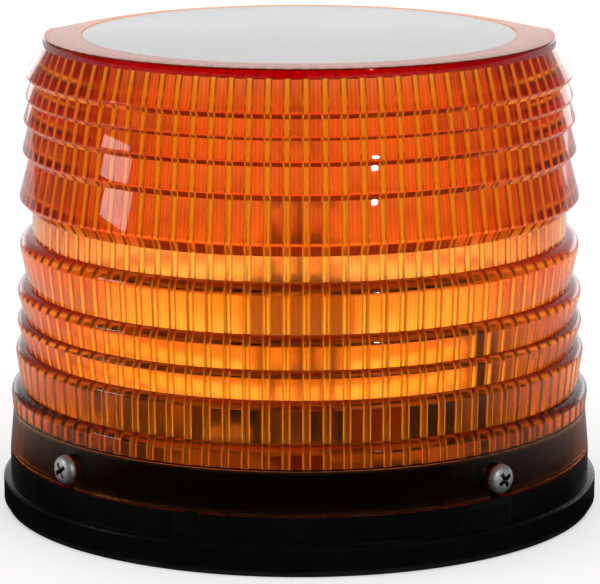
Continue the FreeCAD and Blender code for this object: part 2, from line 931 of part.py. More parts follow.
def terminal_offsets():
    return [terminal_place[0] + side * terminal_pitch / 2 for side in (-1, 1)]


def terminal_block():
    """Two-way terminal with screw wells on top and wire entries at the rim side."""
    width, depth, height = terminal_size
    body = block(terminal_size, terminal_place, board_top)
    top_edges = [
        edge for edge in body.Edges
        if edge.CenterOfMass.z > board_top + height - over_cut
        and abs(edge.tangentAt(edge.FirstParameter).x) > 0.9
    ]
    body = body.makeChamfer(depth * 0.2, top_edges)
    cut = []
    for x in terminal_offsets():
        well_foot = board_top + height - terminal_screw_sink - 2 * over_cut
        cut.append(cylinder(
            terminal_screw_radius + seat_gap, well_foot, board_top + height + over_cut, x, terminal_place[1]))
        entry = Vector(x, terminal_place[1] - depth / 2 - over_cut, board_top + terminal_entry_height)
        cut.append(Part.makeCylinder(terminal_entry_radius, depth / 2 + over_cut, entry, Vector(0, 1, 0)))
    return body.cut(cut)


def terminal_screws():
    screws = []
    top = board_top + terminal_size[2] - terminal_screw_sink
    foot = top - 2 * over_cut
    slot_size = (terminal_screw_radius * 0.35, 3 * terminal_screw_radius, over_cut)
    for x in terminal_offsets():
        head = cylinder(terminal_screw_radius, foot, top, x, terminal_place[1])
        slot = block(slot_size, (x, terminal_place[1]), top - over_cut / 2)
        screws.append(head.cut(slot))
    return compound(screws)


PIECES = (
    base_housing, mounting_gasket, cable_grommet,
    lens, lens_label, lens_seal, lens_screws, screw_inserts,
    circuit_board, board_screws,
    tube_holder, tube_base, tube_pins, flash_tube, tube_electrodes, trigger_band, tube_dome,
    storage_capacitors, transformer_core, transformer_bobbin, transformer_winding,
    trigger_coil, trigger_capacitor, heat_sink, heat_sink_screw, power_transistor,
    choke_core, choke_winding, control_chip, resistors, diodes, terminal_block, terminal_screws,
)


def main():
    os.makedirs("parts", exist_ok=True)
    for piece in PIECES:
        shape = piece()
        shape.exportStep(f"parts/{piece.__name__}.step")
        print(piece.__name__, len(shape.Solids), shape.isValid(), round(shape.Volume, 2))


main()
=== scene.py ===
"""Looks of the amber strobe beacon: ringed and ribbed lens, black base, flash tube and power supply."""
import math

import bmesh
import bpy
from mathutils import Matrix, Vector

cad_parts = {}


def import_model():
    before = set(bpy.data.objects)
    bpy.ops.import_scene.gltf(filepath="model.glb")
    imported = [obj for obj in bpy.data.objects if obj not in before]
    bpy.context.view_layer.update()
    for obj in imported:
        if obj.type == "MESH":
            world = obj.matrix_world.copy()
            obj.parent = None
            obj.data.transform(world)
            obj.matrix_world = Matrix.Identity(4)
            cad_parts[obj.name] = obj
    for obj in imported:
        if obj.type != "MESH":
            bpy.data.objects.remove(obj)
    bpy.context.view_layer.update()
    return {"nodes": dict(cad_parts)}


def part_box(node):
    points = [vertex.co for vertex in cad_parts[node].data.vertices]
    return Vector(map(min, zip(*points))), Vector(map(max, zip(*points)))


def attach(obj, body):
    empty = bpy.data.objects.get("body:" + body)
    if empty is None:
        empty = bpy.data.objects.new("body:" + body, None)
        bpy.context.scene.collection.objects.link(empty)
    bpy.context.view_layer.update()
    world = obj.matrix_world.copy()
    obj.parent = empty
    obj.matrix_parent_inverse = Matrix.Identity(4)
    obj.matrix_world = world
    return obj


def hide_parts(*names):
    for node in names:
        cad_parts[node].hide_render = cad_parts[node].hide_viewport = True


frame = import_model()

SCENE = bpy.context.scene
MM = 0.001
FULL_TURN = 2 * math.pi
QUARTER_TURN = math.pi / 2
UP = Vector((0.0, 0.0, 1.0))

# Photograph's camera
CAMERA_DISTANCE = 821.3 * MM
CAMERA_HEIGHT = 225.13 * MM
CAMERA_AZIMUTH = math.radians(4.6)
CAMERA_PITCH = math.radians(11.956)
CAMERA_LENS = 205.33
CAMERA_SHIFT_X = 0.001

# Studio: what mirrored rays see in front and at the sides, and the fill on the object. The spans are the +Y share
# of a ray's direction over which the front turns into the sides, and the sides into the white behind.
FRONT_MIRRORED = 0.05
SIDE_MIRRORED = 0.12
SIDE_SPAN = (0.1, 0.35)
BEHIND_SPAN = (0.75, 0.95)
LOW_FILL = 0.2
HIGH_FILL = 1.0
# Floor: its own white to the camera and through the lens, and the patch that the front mirrors as dark, which
# fades out over these distances behind and beside the axis.
FLOOR_HALF = 1.5
FLOOR_TONES = (0.80, 0.83)
FLOOR_GLOW = 0.4
FLOOR_THROUGH = 0.55
DARK_PATCH = 0.02
PATCH_FADE_BEHIND = (0.0, 0.2)
PATCH_FADE_BESIDE = (0.11, 0.18)
# Soft lamps: name, place, width, height and watts
LAMPS = (
    ("back_lamp", (0.0, 1.25, 0.12), 1.6, 0.24, 1.5),
    ("left_lamp", (-0.90, -0.25, 0.26), 0.24, 0.14, 0.9),
    ("right_lamp", (0.67, -0.94, 0.45), 0.04, 0.04, 2.0),
)
LAMP_AIM = Vector((0.0, 0.0, 0.06))

# Lens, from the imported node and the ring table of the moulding
LENS_LOW, LENS_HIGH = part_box("lens")
SKIRT_RADIUS = LENS_HIGH.x
SKIRT_HEIGHT = 9.9 * MM
SKIRT_DRAFT = 0.9 * MM
SKIRT_WALL = 2.8 * MM
SKIRT_FOOT_ROUND = 0.4 * MM
SHOULDER_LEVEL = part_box("lens_seal")[1].z
BELT_HEIGHT = 5.9 * MM
BELT_INSET = 6.2
TOP_THICKNESS = 3.0 * MM
RIM_ROUND = 0.5 * MM
NOSE_STEPS = 7
UPPER_CREST_ROUND = 0.8 * MM
# One row for each prism ring, bottom to top, in mm: its height, then how far its crest and its upper edge
# lie inside the skirt's radius.
LOWER_RINGS = ((6.4, 0.5, 2.9), (10.0, 1.7, 3.8), (7.0, 2.2, 3.9), (8.0, 2.4, 4.9), (11.9, 3.1, BELT_INSET))
UPPER_RINGS = ((12.8, 3.1, 5.7), (7.8, 4.0, 5.6), (5.9, 4.3, 5.8), (4.8, 4.9, 6.4), (8.7, 5.0, 9.3))
BELT_FOOT = LENS_LOW.z + SKIRT_HEIGHT + sum(ring[0] for ring in LOWER_RINGS) * MM
RIB_COUNT = 90
RIB_WIDTH = 1.9 * MM
RIB_HEIGHT = 0.85 * MM
BORE_FOOT_INSET = 5.6 * MM
BORE_TOP_INSET = 11.2 * MM
BORE_ROWS = 8
ARC_STEPS_PER_RIB = 8
# Amber: light taken up in its thickness, painted light and shade on its faces, and how matt they are. The ribs carry
# a painted yellow glow. The lands between two ribs have a bright and a dark pair of painted tints, each below and
# above the belt and darker above it as painted shade, with painted refraction streaks as (share of the half pitch,
# depth of colour).
AMBER_ABSORPTION = {"Color": (0.982, 0.75, 0.24), "Density": 500.0}
PAINTED_RIB_GLOW = (1.0, 1.0, 0.5)
PAINTED_BRIGHT_LAND_TINTS = ((1.0, 0.53, 0.25), (0.85, 0.19, 0.28))
PAINTED_DARK_LAND_TINTS = ((0.88, 0.2, 0.2), (0.5, 0.05, 0.2))
PAINTED_REFRACTION_STREAKS = ((0.42, 0.9), (0.52, 0.15), (0.66, 0.2), (0.74, 0.85), (0.82, 0.25), (1.0, 0.0))
# Painted shade: the upward noses of the lower rings are painted dark red
PAINTED_NOSE_SHADE = (1.0, 0.26, 0.4)
# Painted shade: the skirt's outside is painted dark, which hides its glow; its rounded foot stays clear
PAINTED_SKIRT_SHADE = (0.2, 0.1, 0.07)
POLISH = (0.01, 0.05)
LAND_MATT = 0.13
RIB_MATT = 0.28
NOSE_MATT = 0.22
SLOT_HALF_WIDTH = 2.15 * MM
SLOT_ARC_STEPS = 12
LABEL_LOW, LABEL_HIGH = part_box("lens_label")
LABEL_EDGE_GAP = 0.2 * MM
LABEL_LIFT = 0.03 * MM

# Screws: shank radius, thread pitch, and radius and height of the head
LENS_SCREW_COUNT = 4
LENS_SCREW_FIRST_ANGLE = math.radians(45.0)
LENS_SCREW_LEVEL = sum(corner.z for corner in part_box("lens_screws")) / 2
LENS_SCREW_SEAT = SKIRT_RADIUS + 0.1 * MM
LENS_SCREW_LENGTH = 12.0 * MM
LENS_SCREW = (1.75 * MM, 0.8 * MM, (3.45 * MM, 2.2 * MM))
BOARD_SCREW_COUNT = 3
BOARD_SCREW_FIRST_ANGLE = math.radians(30.0)
BOARD_SCREW = (1.25 * MM, 0.6 * MM, (2.8 * MM, 1.8 * MM))
THREAD_DEPTH_SHARE = 0.17
THREAD_SEGMENTS = 24
THREAD_ROWS_PER_TURN = 6
RECESS_TURN = math.radians(32.0)
# Cross recess at its bottom and above its head, in shares of the head: level, reach and half width of a wing
RECESS_ENDS = ((0.32, 0.26, 0.10), (1.1, 0.62, 0.155))

# Circuit board
BOARD_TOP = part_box("circuit_board")[1].z
PRINT_TOP = BOARD_TOP + 0.03 * MM
PRINT_WIDTH = 0.35 * MM
PRINT_MARGIN = 0.8 * MM
RINGED_NODES = ("storage_capacitors", "trigger_coil", "choke_core")
FRAMED_NODES = (
    "transformer_core", "trigger_capacitor", "heat_sink", "control_chip", "terminal_block", "resistors", "diodes")

# Shading stays smooth across edges up to this angle, and bevels round edges above it
SMOOTH_ANGLE = 30.0


# Meshes

def add_object(name, data, material=None):
    """Object in the scene from a mesh, a camera or a light."""
    data.name = name
    piece = bpy.data.objects.new(name, data)
    SCENE.collection.objects.link(piece)
    if material:
        data.materials.clear()
        data.materials.append(material)
    return piece


def with_settings(item, **settings):
    for label, value in settings.items():
        setattr(item, label, value)
    return item


def mesh_of(shape):
    """Mesh from a bmesh, which is freed."""
    mesh = bpy.data.meshes.new("shape")
    shape.to_mesh(mesh)
    shape.free()
    return mesh


def mesh_from(vertices, faces=()):
    mesh = bpy.data.meshes.new("shape")
    mesh.from_pydata(vertices, [], faces)
    return mesh


def store(mesh, name, domain, values):
    """Number attribute of a mesh's points or faces."""
    attribute = mesh.attributes.new(name, "FLOAT", domain)
    attribute.data.foreach_set("value", values)


def paint_faces(mesh, name, test):
    """Face attribute from a function of a face's middle."""
    store(mesh, name, "FACE", [float(test(face.center)) for face in mesh.polygons])


def merged_shape(node):
    """A CAD node's mesh as a bmesh with its corners joined."""
    shape = bmesh.new()
    shape.from_mesh(frame["nodes"][node].data)
    bmesh.ops.remove_doubles(shape, verts=shape.verts, dist=0.002 * MM)
    return shape


def solid_boxes(node):
    """Lowest and highest corner of each solid in a CAD node."""
    shape = merged_shape(node)
    waiting = set(shape.verts)
    boxes = []
    while waiting:
        group = [waiting.pop()]
        for vertex in group:
            near = {edge.other_vert(vertex) for edge in vertex.link_edges} & waiting
            waiting -= near
            group += near
        columns = list(zip(*(vertex.co for vertex in group)))
        boxes.append((Vector(map(min, columns)), Vector(map(max, columns))))
    shape.free()
    return sorted(boxes, key=lambda box: (round(box[0].x, 5), round(box[0].y, 5)))


def foot_of(box):
    """Middle of a box's underside."""
    low, high = box
    return Vector(((low.x + high.x) / 2, (low.y + high.y) / 2, low.z))


def on_circle(radius, angle, level=0.0):
    return Vector((radius * math.cos(angle), radius * math.sin(angle), level))


def rounded_path(corners, arc_steps=4):
    """Points through (x, z) or (x, z, round) corners, each round an arc tangent to both sides."""
    points = [Vector(corner[:2]) for corner in corners]
    path = []
    for index, corner in enumerate(points):
        size = corners[index][2] if len(corners[index]) > 2 else 0.0
        if not size:
            path.append(corner)
            continue
        before = points[index - 1] - corner
        after = points[index + 1] - corner
        half_angle = before.angle(after) / 2
        longest = 0.45 * min(before.length, after.length)
        tangent = min(size / math.tan(half_angle), longest)
        start = corner + before.normalized() * tangent
        end = corner + after.normalized() * tangent
        bisector = (before.normalized() + after.normalized()).normalized()
        centre = corner + bisector * (tangent / math.cos(half_angle))
        radius = tangent * math.tan(half_angle)
        for step in range(arc_steps + 1):
            ray = start.lerp(end, step / arc_steps) - centre
            path.append(centre + ray.normalized() * radius)
    return path


def lathe(path, segments, closed=False, angles=None):
    """Solid of revolution from (radius, height) points that start and end on the axis, or close on themselves.

    The outline runs with the solid on its left as it goes up the outside. The segments are even unless their
    angles are given."""
    angles = angles or [FULL_TURN * step / segments for step in range(segments)]
    vertices = []
    rows = []
    for radius, level in path:
        first = len(vertices)
        if radius < 1e-7:
            rows.append([first] * segments)
            vertices.append((0.0, 0.0, level))
        else:
            rows.append(range(first, first + segments))
            vertices += [on_circle(radius, angle, level) for angle in angles]
    if closed:
        rows.append(rows[0])
    return mesh_from(vertices, [tuple(dict.fromkeys(corners)) for corners in facets(rows)])


def facets(rows):
    """Corners of the faces between rows of points that each close on themselves."""
    for lower, upper in zip(rows, rows[1:]):
        for step in range(len(lower)):
            following = (step + 1) % len(lower)
            yield lower[step], lower[following], upper[following], upper[step]


def bridged(rows, capped=True):
    """Mesh over rows of places that each close on themselves, with flat ends or back on its first row."""
    shape = bmesh.new()
    rings = [[shape.verts.new(place) for place in row] for row in rows]
    for corners in facets(rings if capped else rings + rings[:1]):
        shape.faces.new(corners)
    if capped:
        shape.faces.new(reversed(rings[0]))
        shape.faces.new(rings[-1])
    return mesh_of(shape)


def add_box(shape, low, high):
    """Adds a box to a bmesh."""
    low, high = Vector(low), Vector(high)
    place = Matrix.Translation((low + high) / 2) @ Matrix.Diagonal(high - low).to_4x4()
    return bmesh.ops.create_cube(shape, size=1.0, matrix=place)["verts"]


def pulled(shape, faces, way):
    """Mesh of a bmesh whose flat faces are drawn out into a solid."""
    drawn = bmesh.ops.extrude_face_region(shape, geom=faces)["geom"]
    bmesh.ops.translate(shape, verts=[item for item in drawn if isinstance(item, bmesh.types.BMVert)], vec=way)
    bmesh.ops.recalc_face_normals(shape, faces=shape.faces)
    return mesh_of(shape)


def tube_rows(path, radius, sides):
    """Rows of places round a line of points."""
    side_axis = None
    rows = []
    for index, point in enumerate(path):
        along = (path[min(index + 1, len(path) - 1)] - path[max(index - 1, 0)]).normalized()
        side_axis = side_axis or along.orthogonal().normalized()
        side_axis = (side_axis - along * side_axis.dot(along)).normalized()
        axes = Matrix((side_axis, along.cross(side_axis), along)).transposed()
        rows.append([point + axes @ on_circle(radius, FULL_TURN * side / sides) for side in range(sides)])
    return rows


def joined(*meshes):
    """One mesh from several, which are removed."""
    shape = bmesh.new()
    for mesh in meshes:
        shape.from_mesh(mesh)
        bpy.data.meshes.remove(mesh)
    return mesh_of(shape)


def applied(piece):
    """Mesh with the piece's modifiers applied. The piece is removed."""
    graph = bpy.context.evaluated_depsgraph_get()
    mesh = bpy.data.meshes.new_from_object(piece.evaluated_get(graph))
    old = piece.data
    bpy.data.objects.remove(piece)
    bpy.data.meshes.remove(old)
    return mesh


def modified(mesh, kind, **settings):
    """The mesh with one modifier applied."""
    piece = add_object("modified", mesh)
    with_settings(piece.modifiers.new("modified", kind), **settings)
    return applied(piece)


def carved(mesh, cutter):
    """The mesh with the cutter's volume taken out."""
    tool = add_object("cutter", cutter)
    mesh = modified(mesh, "BOOLEAN", operation="DIFFERENCE", solver="EXACT", object=tool)
    bpy.data.objects.remove(tool)
    bpy.data.meshes.remove(cutter)
    return mesh


def bevelled(mesh, width, segments=2, angle=SMOOTH_ANGLE):
    """The mesh with its sharp edges rounded."""
    return modified(
        mesh, "BEVEL", width=width, segments=segments, limit_method="ANGLE", angle_limit=math.radians(angle))


def finished(name, mesh, finish, node, angle=SMOOTH_ANGLE, body="base"):
    """Finished piece of the beacon, on its body and in place of its CAD node."""
    for face in mesh.polygons:
        face.use_smooth = True
    mesh.set_sharp_from_angle(angle=math.radians(angle))
    piece = add_object(name, mesh, MATERIALS[finish])
    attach(piece, body)
    if node:
        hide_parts(node)


def node_copy(name, node, finish, round_width=0.0, angle=SMOOTH_ANGLE):
    """Finished copy of a CAD node of the base, its sharp edges rounded over where a width is given."""
    shape = merged_shape(node)
    bmesh.ops.dissolve_limit(
        shape, angle_limit=math.radians(0.5), verts=shape.verts, edges=shape.edges, use_dissolve_boundaries=False)
    mesh = mesh_of(shape)
    if round_width:
        mesh = bevelled(mesh, round_width)
    finished(name, mesh, finish, node, angle)


# Node trees

def with_alpha(colour):
    """Colour for a socket, from one grey or from red, green and blue."""
    return (*colour, 1.0) if isinstance(colour, tuple) else (colour, colour, colour, 1.0)


def set_input(socket, value):
    socket.default_value = with_alpha(value) if socket.type == "RGBA" else value


def spaced(inputs):
    """Inputs by their socket labels, from keywords with underscores."""
    return {label.replace("_", " "): value for label, value in inputs.items()}


class Nodes:
    """Node tree under construction."""

    def __init__(self, tree):
        self.tree = tree

    def node(self, kind, inputs=None, **properties):
        """Node whose inputs are set to a value, or linked to a socket."""
        node = with_settings(self.tree.nodes.new(kind), **properties)
        for label, value in (inputs or {}).items():
            if isinstance(value, bpy.types.NodeSocket):
                self.tree.links.new(value, node.inputs[label])
            else:
                set_input(node.inputs[label], value)
        return node

    def shade(self, kind, inputs=None, **properties):
        return self.node("ShaderNode" + kind, inputs, **properties).outputs

    def calc(self, operation, *values):
        return self.shade("Math", dict(enumerate(values)), operation=operation)[0]

    def times(self, first, *factors):
        for factor in factors:
            first = self.calc("MULTIPLY", first, factor)
        return first

    def spread(self, value, from_low, from_high, to_low=0.0, to_high=1.0):
        return self.shade("MapRange", {
            "Value": value, "From Min": from_low, "From Max": from_high, "To Min": to_low, "To Max": to_high})[0]

    def mix(self, factor, first, second):
        return self.shade("Mix", {0: factor, 6: first, 7: second}, data_type="RGBA")[2]

    def ramp(self, factor, stops, interpolation="LINEAR"):
        """Colour ramp through (position, colour) stops."""
        node = self.node("ShaderNodeValToRGB", {0: factor})
        node.color_ramp.interpolation = interpolation
        elements = node.color_ramp.elements
        for index, (position, colour) in enumerate(stops):
            element = elements[index] if index < 2 else elements.new(position)
            element.position = position
            element.color = with_alpha(colour)
        return node.outputs[0]

    def split(self, vector):
        return self.shade("SeparateXYZ", {0: vector})

    def place(self):
        return self.shade("TexCoord")["Object"]

    def normal(self):
        return self.shade("NewGeometry")["Normal"]

    def noise(self, scale, detail=3.0, vector=None):
        return self.shade("TexNoise", {"Vector": vector or self.place(), "Scale": scale, "Detail": detail})[0]


class Group(Nodes):
    """Node group under construction, with named inputs and outputs."""

    def __init__(self, name, kind, inputs, outputs):
        super().__init__(bpy.data.node_groups.new(name, kind))
        for in_out, sockets in (("INPUT", inputs), ("OUTPUT", outputs)):
            for label, socket in sockets.items():
                self.tree.interface.new_socket(label, in_out=in_out, socket_type="NodeSocket" + socket)
        self.given = self.tree.nodes.new("NodeGroupInput").outputs
        self.results = self.tree.nodes.new("NodeGroupOutput").inputs

    def give(self, **sockets):
        for label, socket in sockets.items():
            self.tree.links.new(socket, self.results[label])
        return self.tree


# Geometry Nodes

class Growth(Group):
    """Geometry Nodes tree that takes a mesh, a finish and more named inputs."""

    def __init__(self, name, **inputs):
        sockets = {"Geometry": "Geometry", "Finish": "Material", **spaced(inputs)}
        super().__init__(name, "GeometryNodeTree", sockets, {"Geometry": "Geometry"})

    def add(self, kind, inputs=None, **properties):
        return self.node("GeometryNode" + kind, inputs, **properties).outputs[0]

    def line(self, count, start, step):
        return self.add("MeshLine", {"Count": count, "Start Location": start, "Offset": step})

    def store(self, geometry, name, value, domain="POINT"):
        inputs = {"Geometry": geometry, "Name": name, "Value": value}
        return self.add("StoreNamedAttribute", inputs, data_type="FLOAT", domain=domain)

    def copies(self, points, instance, **inputs):
        return self.add("InstanceOnPoints", {"Points": points, "Instance": instance, **inputs})

    def close(self, geometry):
        """Ends the tree with real meshes that carry its finish."""
        real = self.add("RealizeInstances", {"Geometry": geometry})
        return self.give(Geometry=self.add("SetMaterial", {"Geometry": real, "Material": self.given["Finish"]}))


def grown(tree, mesh, finish, **inputs):
    """Mesh that a tree makes from a starting mesh."""
    piece = add_object("grown", mesh)
    modifier = piece.modifiers.new("grown", "NODES")
    modifier.node_group = tree
    values = spaced(dict(inputs, Finish=MATERIALS[finish]))
    for socket in tree.interface.items_tree:
        if socket.in_out == "INPUT" and socket.name in values:
            modifier[socket.identifier] = values[socket.name]
    return applied(piece)


def rib_tree():
    """Pushes the bore's points towards the axis into half-round ribs with lands between, and marks the ribs."""
    ribs = Growth("bore_ribs", Rib_Count="Float", Rib_Share="Float", Rib_Height="Float")
    axes = ribs.split(ribs.add("InputPosition"))
    angle = ribs.calc("ARCTAN2", axes[1], axes[0])
    turns = ribs.times(angle, ribs.calc("DIVIDE", ribs.given["Rib Count"], FULL_TURN))
    offset = ribs.times(ribs.calc("ABSOLUTE", ribs.calc("SUBTRACT", turns, ribs.calc("ROUND", turns))), 2.0)
    across = ribs.calc("MINIMUM", ribs.calc("DIVIDE", offset, ribs.given["Rib Share"]), 1.0)
    rise = ribs.calc("SQRT", ribs.calc("SUBTRACT", 1.0, ribs.times(across, across)))
    rib = ribs.times(rise, ribs.add("InputNamedAttribute", {"Name": "bore"}, data_type="FLOAT"))
    flat = ribs.shade("CombineXYZ", {0: axes[0], 1: axes[1]})[0]
    unit = ribs.shade("VectorMath", {0: flat}, operation="NORMALIZE")[0]
    push = ribs.times(rib, ribs.given["Rib Height"], -1.0)
    inward = ribs.shade("VectorMath", {0: unit, "Scale": push}, operation="SCALE")[0]
    marked = ribs.store(ribs.store(ribs.given["Geometry"], "rib", rib), "across", offset)
    return ribs.close(ribs.add("SetPosition", {"Geometry": marked, "Offset": inward}))


def ring_tree():
    """Copies of the starting mesh at even angles round the beacon's axis.

    The mesh's own +Z turns outwards by the tilt."""
    ring = Growth(
        "ring_of_pieces", Count="Int", Circle_Radius="Float", First_Angle="Float", Level="Float", Tilt="Float")
    given = ring.given
    step = ring.calc("DIVIDE", FULL_TURN, given["Count"])
    angle = ring.calc("MULTIPLY_ADD", ring.add("InputIndex"), step, given["First Angle"])
    place = ring.shade("CombineXYZ", {
        0: ring.times(ring.calc("COSINE", angle), given["Circle Radius"]),
        1: ring.times(ring.calc("SINE", angle), given["Circle Radius"]),
        2: given["Level"],
    })[0]
    line = ring.line(given["Count"], (0.0, 0.0, 0.0), (0.0, 0.0, 0.0))
    points = ring.add("SetPosition", {"Geometry": line, "Position": place})
    turn = ring.shade("CombineXYZ", {1: given["Tilt"], 2: angle})[0]
    rotation = ring.node("FunctionNodeEulerToRotation", {0: turn}).outputs[0]
    return ring.close(ring.copies(points, given["Geometry"], Rotation=rotation))


def scatter_tree():
    """Copies of another object's mesh on the points of the starting mesh, each with its own number in "kind"."""
    scatter = Growth("placed_pieces", Piece="Object", Seed="Int")
    pattern = scatter.node("GeometryNodeObjectInfo", {"Object": scatter.given["Piece"]}).outputs["Geometry"]
    kind = scatter.node("FunctionNodeRandomValue", {"Seed": scatter.given["Seed"]}, data_type="FLOAT").outputs[1]
    copies = scatter.copies(scatter.given["Geometry"], pattern)
    return scatter.close(scatter.store(copies, "kind", kind, "INSTANCE"))


def winding_tree():
    """Turns of round wire laid on each other round a rectangle with rounded corners, a hair apart."""
    winding = Growth(
        "wire_turns", Width="Float", Depth="Float", Corner="Float", Wire_Radius="Float", Turns="Int", Foot="Vector")
    given = winding.given
    outline = winding.add("CurvePrimitiveQuadrilateral", {"Width": given["Width"], "Height": given["Depth"]})
    fillet = {"Curve": outline, "Radius": given["Corner"], "Limit Radius": True, "Count": 8}
    eased = winding.add("FilletCurve", fillet, mode="POLY")
    section = winding.add(
        "CurvePrimitiveCircle", {"Resolution": 8, "Radius": winding.times(given["Wire Radius"], 0.98)})
    turn = winding.add("CurveToMesh", {"Curve": eased, "Profile Curve": section})
    step = winding.shade("CombineXYZ", {2: winding.times(given["Wire Radius"], 2.0)})[0]
    return winding.close(winding.copies(winding.line(given["Turns"], given["Foot"], step), turn))


RIBS = rib_tree()
RING = ring_tree()
SCATTER = scatter_tree()
WINDING = winding_tree()


def scattered(pattern, points, finish, seed=0):
    """Copies of a pattern mesh at points."""
    piece = add_object("pattern", pattern)
    mesh = grown(SCATTER, mesh_from(points), finish, Piece=piece, Seed=seed)
    bpy.data.objects.remove(piece)
    bpy.data.meshes.remove(pattern)
    return mesh


# Shader groups

def shader_group(name, outputs, **inputs):
    return Group(name, "ShaderNodeTree", spaced(inputs), dict.fromkeys(outputs, "Float"))


def surface_group(name, **inputs):
    """Group for a tone, a roughness within a range and a height."""
    return shader_group(
        name, ("Tone", "Roughness", "Height"), **inputs, Low_Roughness="Float", High_Roughness="Float")


def grain_group():
    """Moulded grain: a tone and a roughness that wander over the surface, and the height of the fine grain."""
    grain = surface_group("moulded_grain", Grain_Scale="Float")
    given = grain.given
    broad = grain.noise(grain.times(given["Grain Scale"], 0.03))
    fine = grain.noise(given["Grain Scale"], detail=2.0)
    both = grain.calc("MULTIPLY_ADD", fine, 0.4, grain.times(broad, 0.6))
    rough = grain.spread(both, 0.35, 0.65, given["Low Roughness"], given["High Roughness"])
    return grain.give(Tone=grain.spread(broad, 0.3, 0.7), Roughness=rough, Height=fine)


def drawn_group():
    """Lines of drawn, turned or brushed metal along a direction: their tone, roughness and height."""
    drawn = surface_group("drawn_lines", Line_Scale="Vector")
    given = drawn.given
    stretched = drawn.shade("VectorMath", {0: drawn.place(), 1: given["Line Scale"]}, operation="MULTIPLY")[0]
    lines = drawn.noise(1.0, detail=4.0, vector=stretched)
    rough = drawn.spread(lines, 0.3, 0.7, given["Low Roughness"], given["High Roughness"])
    return drawn.give(Tone=drawn.spread(lines, 0.3, 0.7), Roughness=rough, Height=lines)


def wear_group():
    """Mask of rubbed edges, broken up by noise."""
    wear = shader_group("edge_wear", ("Mask",), Edge_Width="Float", Patch_Scale="Float")
    softened = wear.shade("Bevel", {"Radius": wear.given["Edge Width"]}, samples=6)[0]
    level = wear.shade("VectorMath", {0: softened, 1: wear.normal()}, operation="DOT_PRODUCT")["Value"]
    patches = wear.spread(wear.noise(wear.given["Patch Scale"]), 0.35, 0.65)
    return wear.give(Mask=wear.times(wear.spread(level, 0.985, 0.85), patches))


def dust_group():
    """Mask of fine dust on faces that look up."""
    dust = shader_group("settled_dust", ("Mask",), Patch_Scale="Float", Amount="Float")
    upward = dust.spread(dust.split(dust.normal())[2], 0.4, 1.0)
    patches = dust.spread(dust.noise(dust.given["Patch Scale"], detail=5.0), 0.4, 0.75)
    return dust.give(Mask=dust.times(upward, patches, dust.given["Amount"]))


GRAIN = grain_group()
DRAWN = drawn_group()
WEAR = wear_group()
DUST = dust_group()


# Finishes

class Finish(Nodes):
    """Material under construction, with its Principled shader."""

    def __init__(self, name, **constants):
        self.name = name
        self.material = bpy.data.materials.new(name)
        self.material.use_nodes = True
        super().__init__(self.material.node_tree)
        self.shader = self.tree.nodes["Principled BSDF"]
        for label, value in spaced(constants).items():
            set_input(self.shader.inputs[label], value)

    def group(self, group, **inputs):
        return self.shade("Group", spaced(inputs), node_tree=group)

    def surface(self, group, roughness, **inputs):
        low, high = roughness
        return self.group(group, Low_Roughness=low, High_Roughness=high, **inputs)

    def grain(self, scale, roughness):
        return self.surface(GRAIN, roughness, Grain_Scale=scale)

    def mask(self, attribute):
        return self.shade("Attribute", attribute_name=attribute)["Fac"]

    def feed(self, label, socket):
        self.tree.links.new(socket, self.shader.inputs[label])

    def bump(self, height, depth):
        self.feed("Normal", self.shade("Bump", {"Strength": 0.5, "Distance": depth, "Height": height})[0])

    def cover(self, mask, colour, bare=False):
        """Lays a colour over the finish where a mask or a named attribute is 1, as bare metal if asked."""
        mask = self.mask(mask) if isinstance(mask, str) else mask
        under = self.shader.inputs["Base Color"].links[0].from_socket
        self.feed("Base Color", self.mix(mask, under, colour))
        if bare:
            self.feed("Metallic", mask)
        return self

    def toned(self, pattern, tones, depth, worn, wear):
        """Two tones, a roughness and a height that follow a pattern, and rubbed edges if they have a colour."""
        self.feed("Base Color", self.mix(pattern["Tone"], *tones))
        self.feed("Roughness", pattern["Roughness"])
        self.bump(pattern["Height"], depth * MM)
        if worn:
            self.cover(self.group(WEAR, **wear)["Mask"], worn)


MOULDED_WEAR = dict(Edge_Width=0.35 * MM, Patch_Scale=400.0)
METAL_WEAR = dict(Edge_Width=0.3 * MM, Patch_Scale=600.0)
DUST_SCALE = 90.0
DUST_TINT = (0.42, 0.39, 0.35)


def moulded(name, dark, light, roughness, scale, depth, worn=None, dusty=0.0, **constants):
    """Moulded or coated finish between two tones, with fine grain, and with rubbed edges and dust if asked."""
    finish = Finish(name, **constants)
    finish.toned(finish.grain(scale, roughness), (dark, light), depth, worn, MOULDED_WEAR)
    if dusty:
        finish.cover(finish.group(DUST, Patch_Scale=DUST_SCALE, Amount=dusty)["Mask"], DUST_TINT)
    return finish


def metal(name, dark, light, roughness, line_scale, depth=0.01, worn=None, **constants):
    """Bare metal with drawn, turned or brushed lines, and with rubbed edges if asked."""
    finish = Finish(name, Metallic=1.0, **constants)
    lines = finish.surface(DRAWN, roughness, Line_Scale=line_scale)
    finish.toned(lines, (dark, light), depth, worn, METAL_WEAR)
    return finish


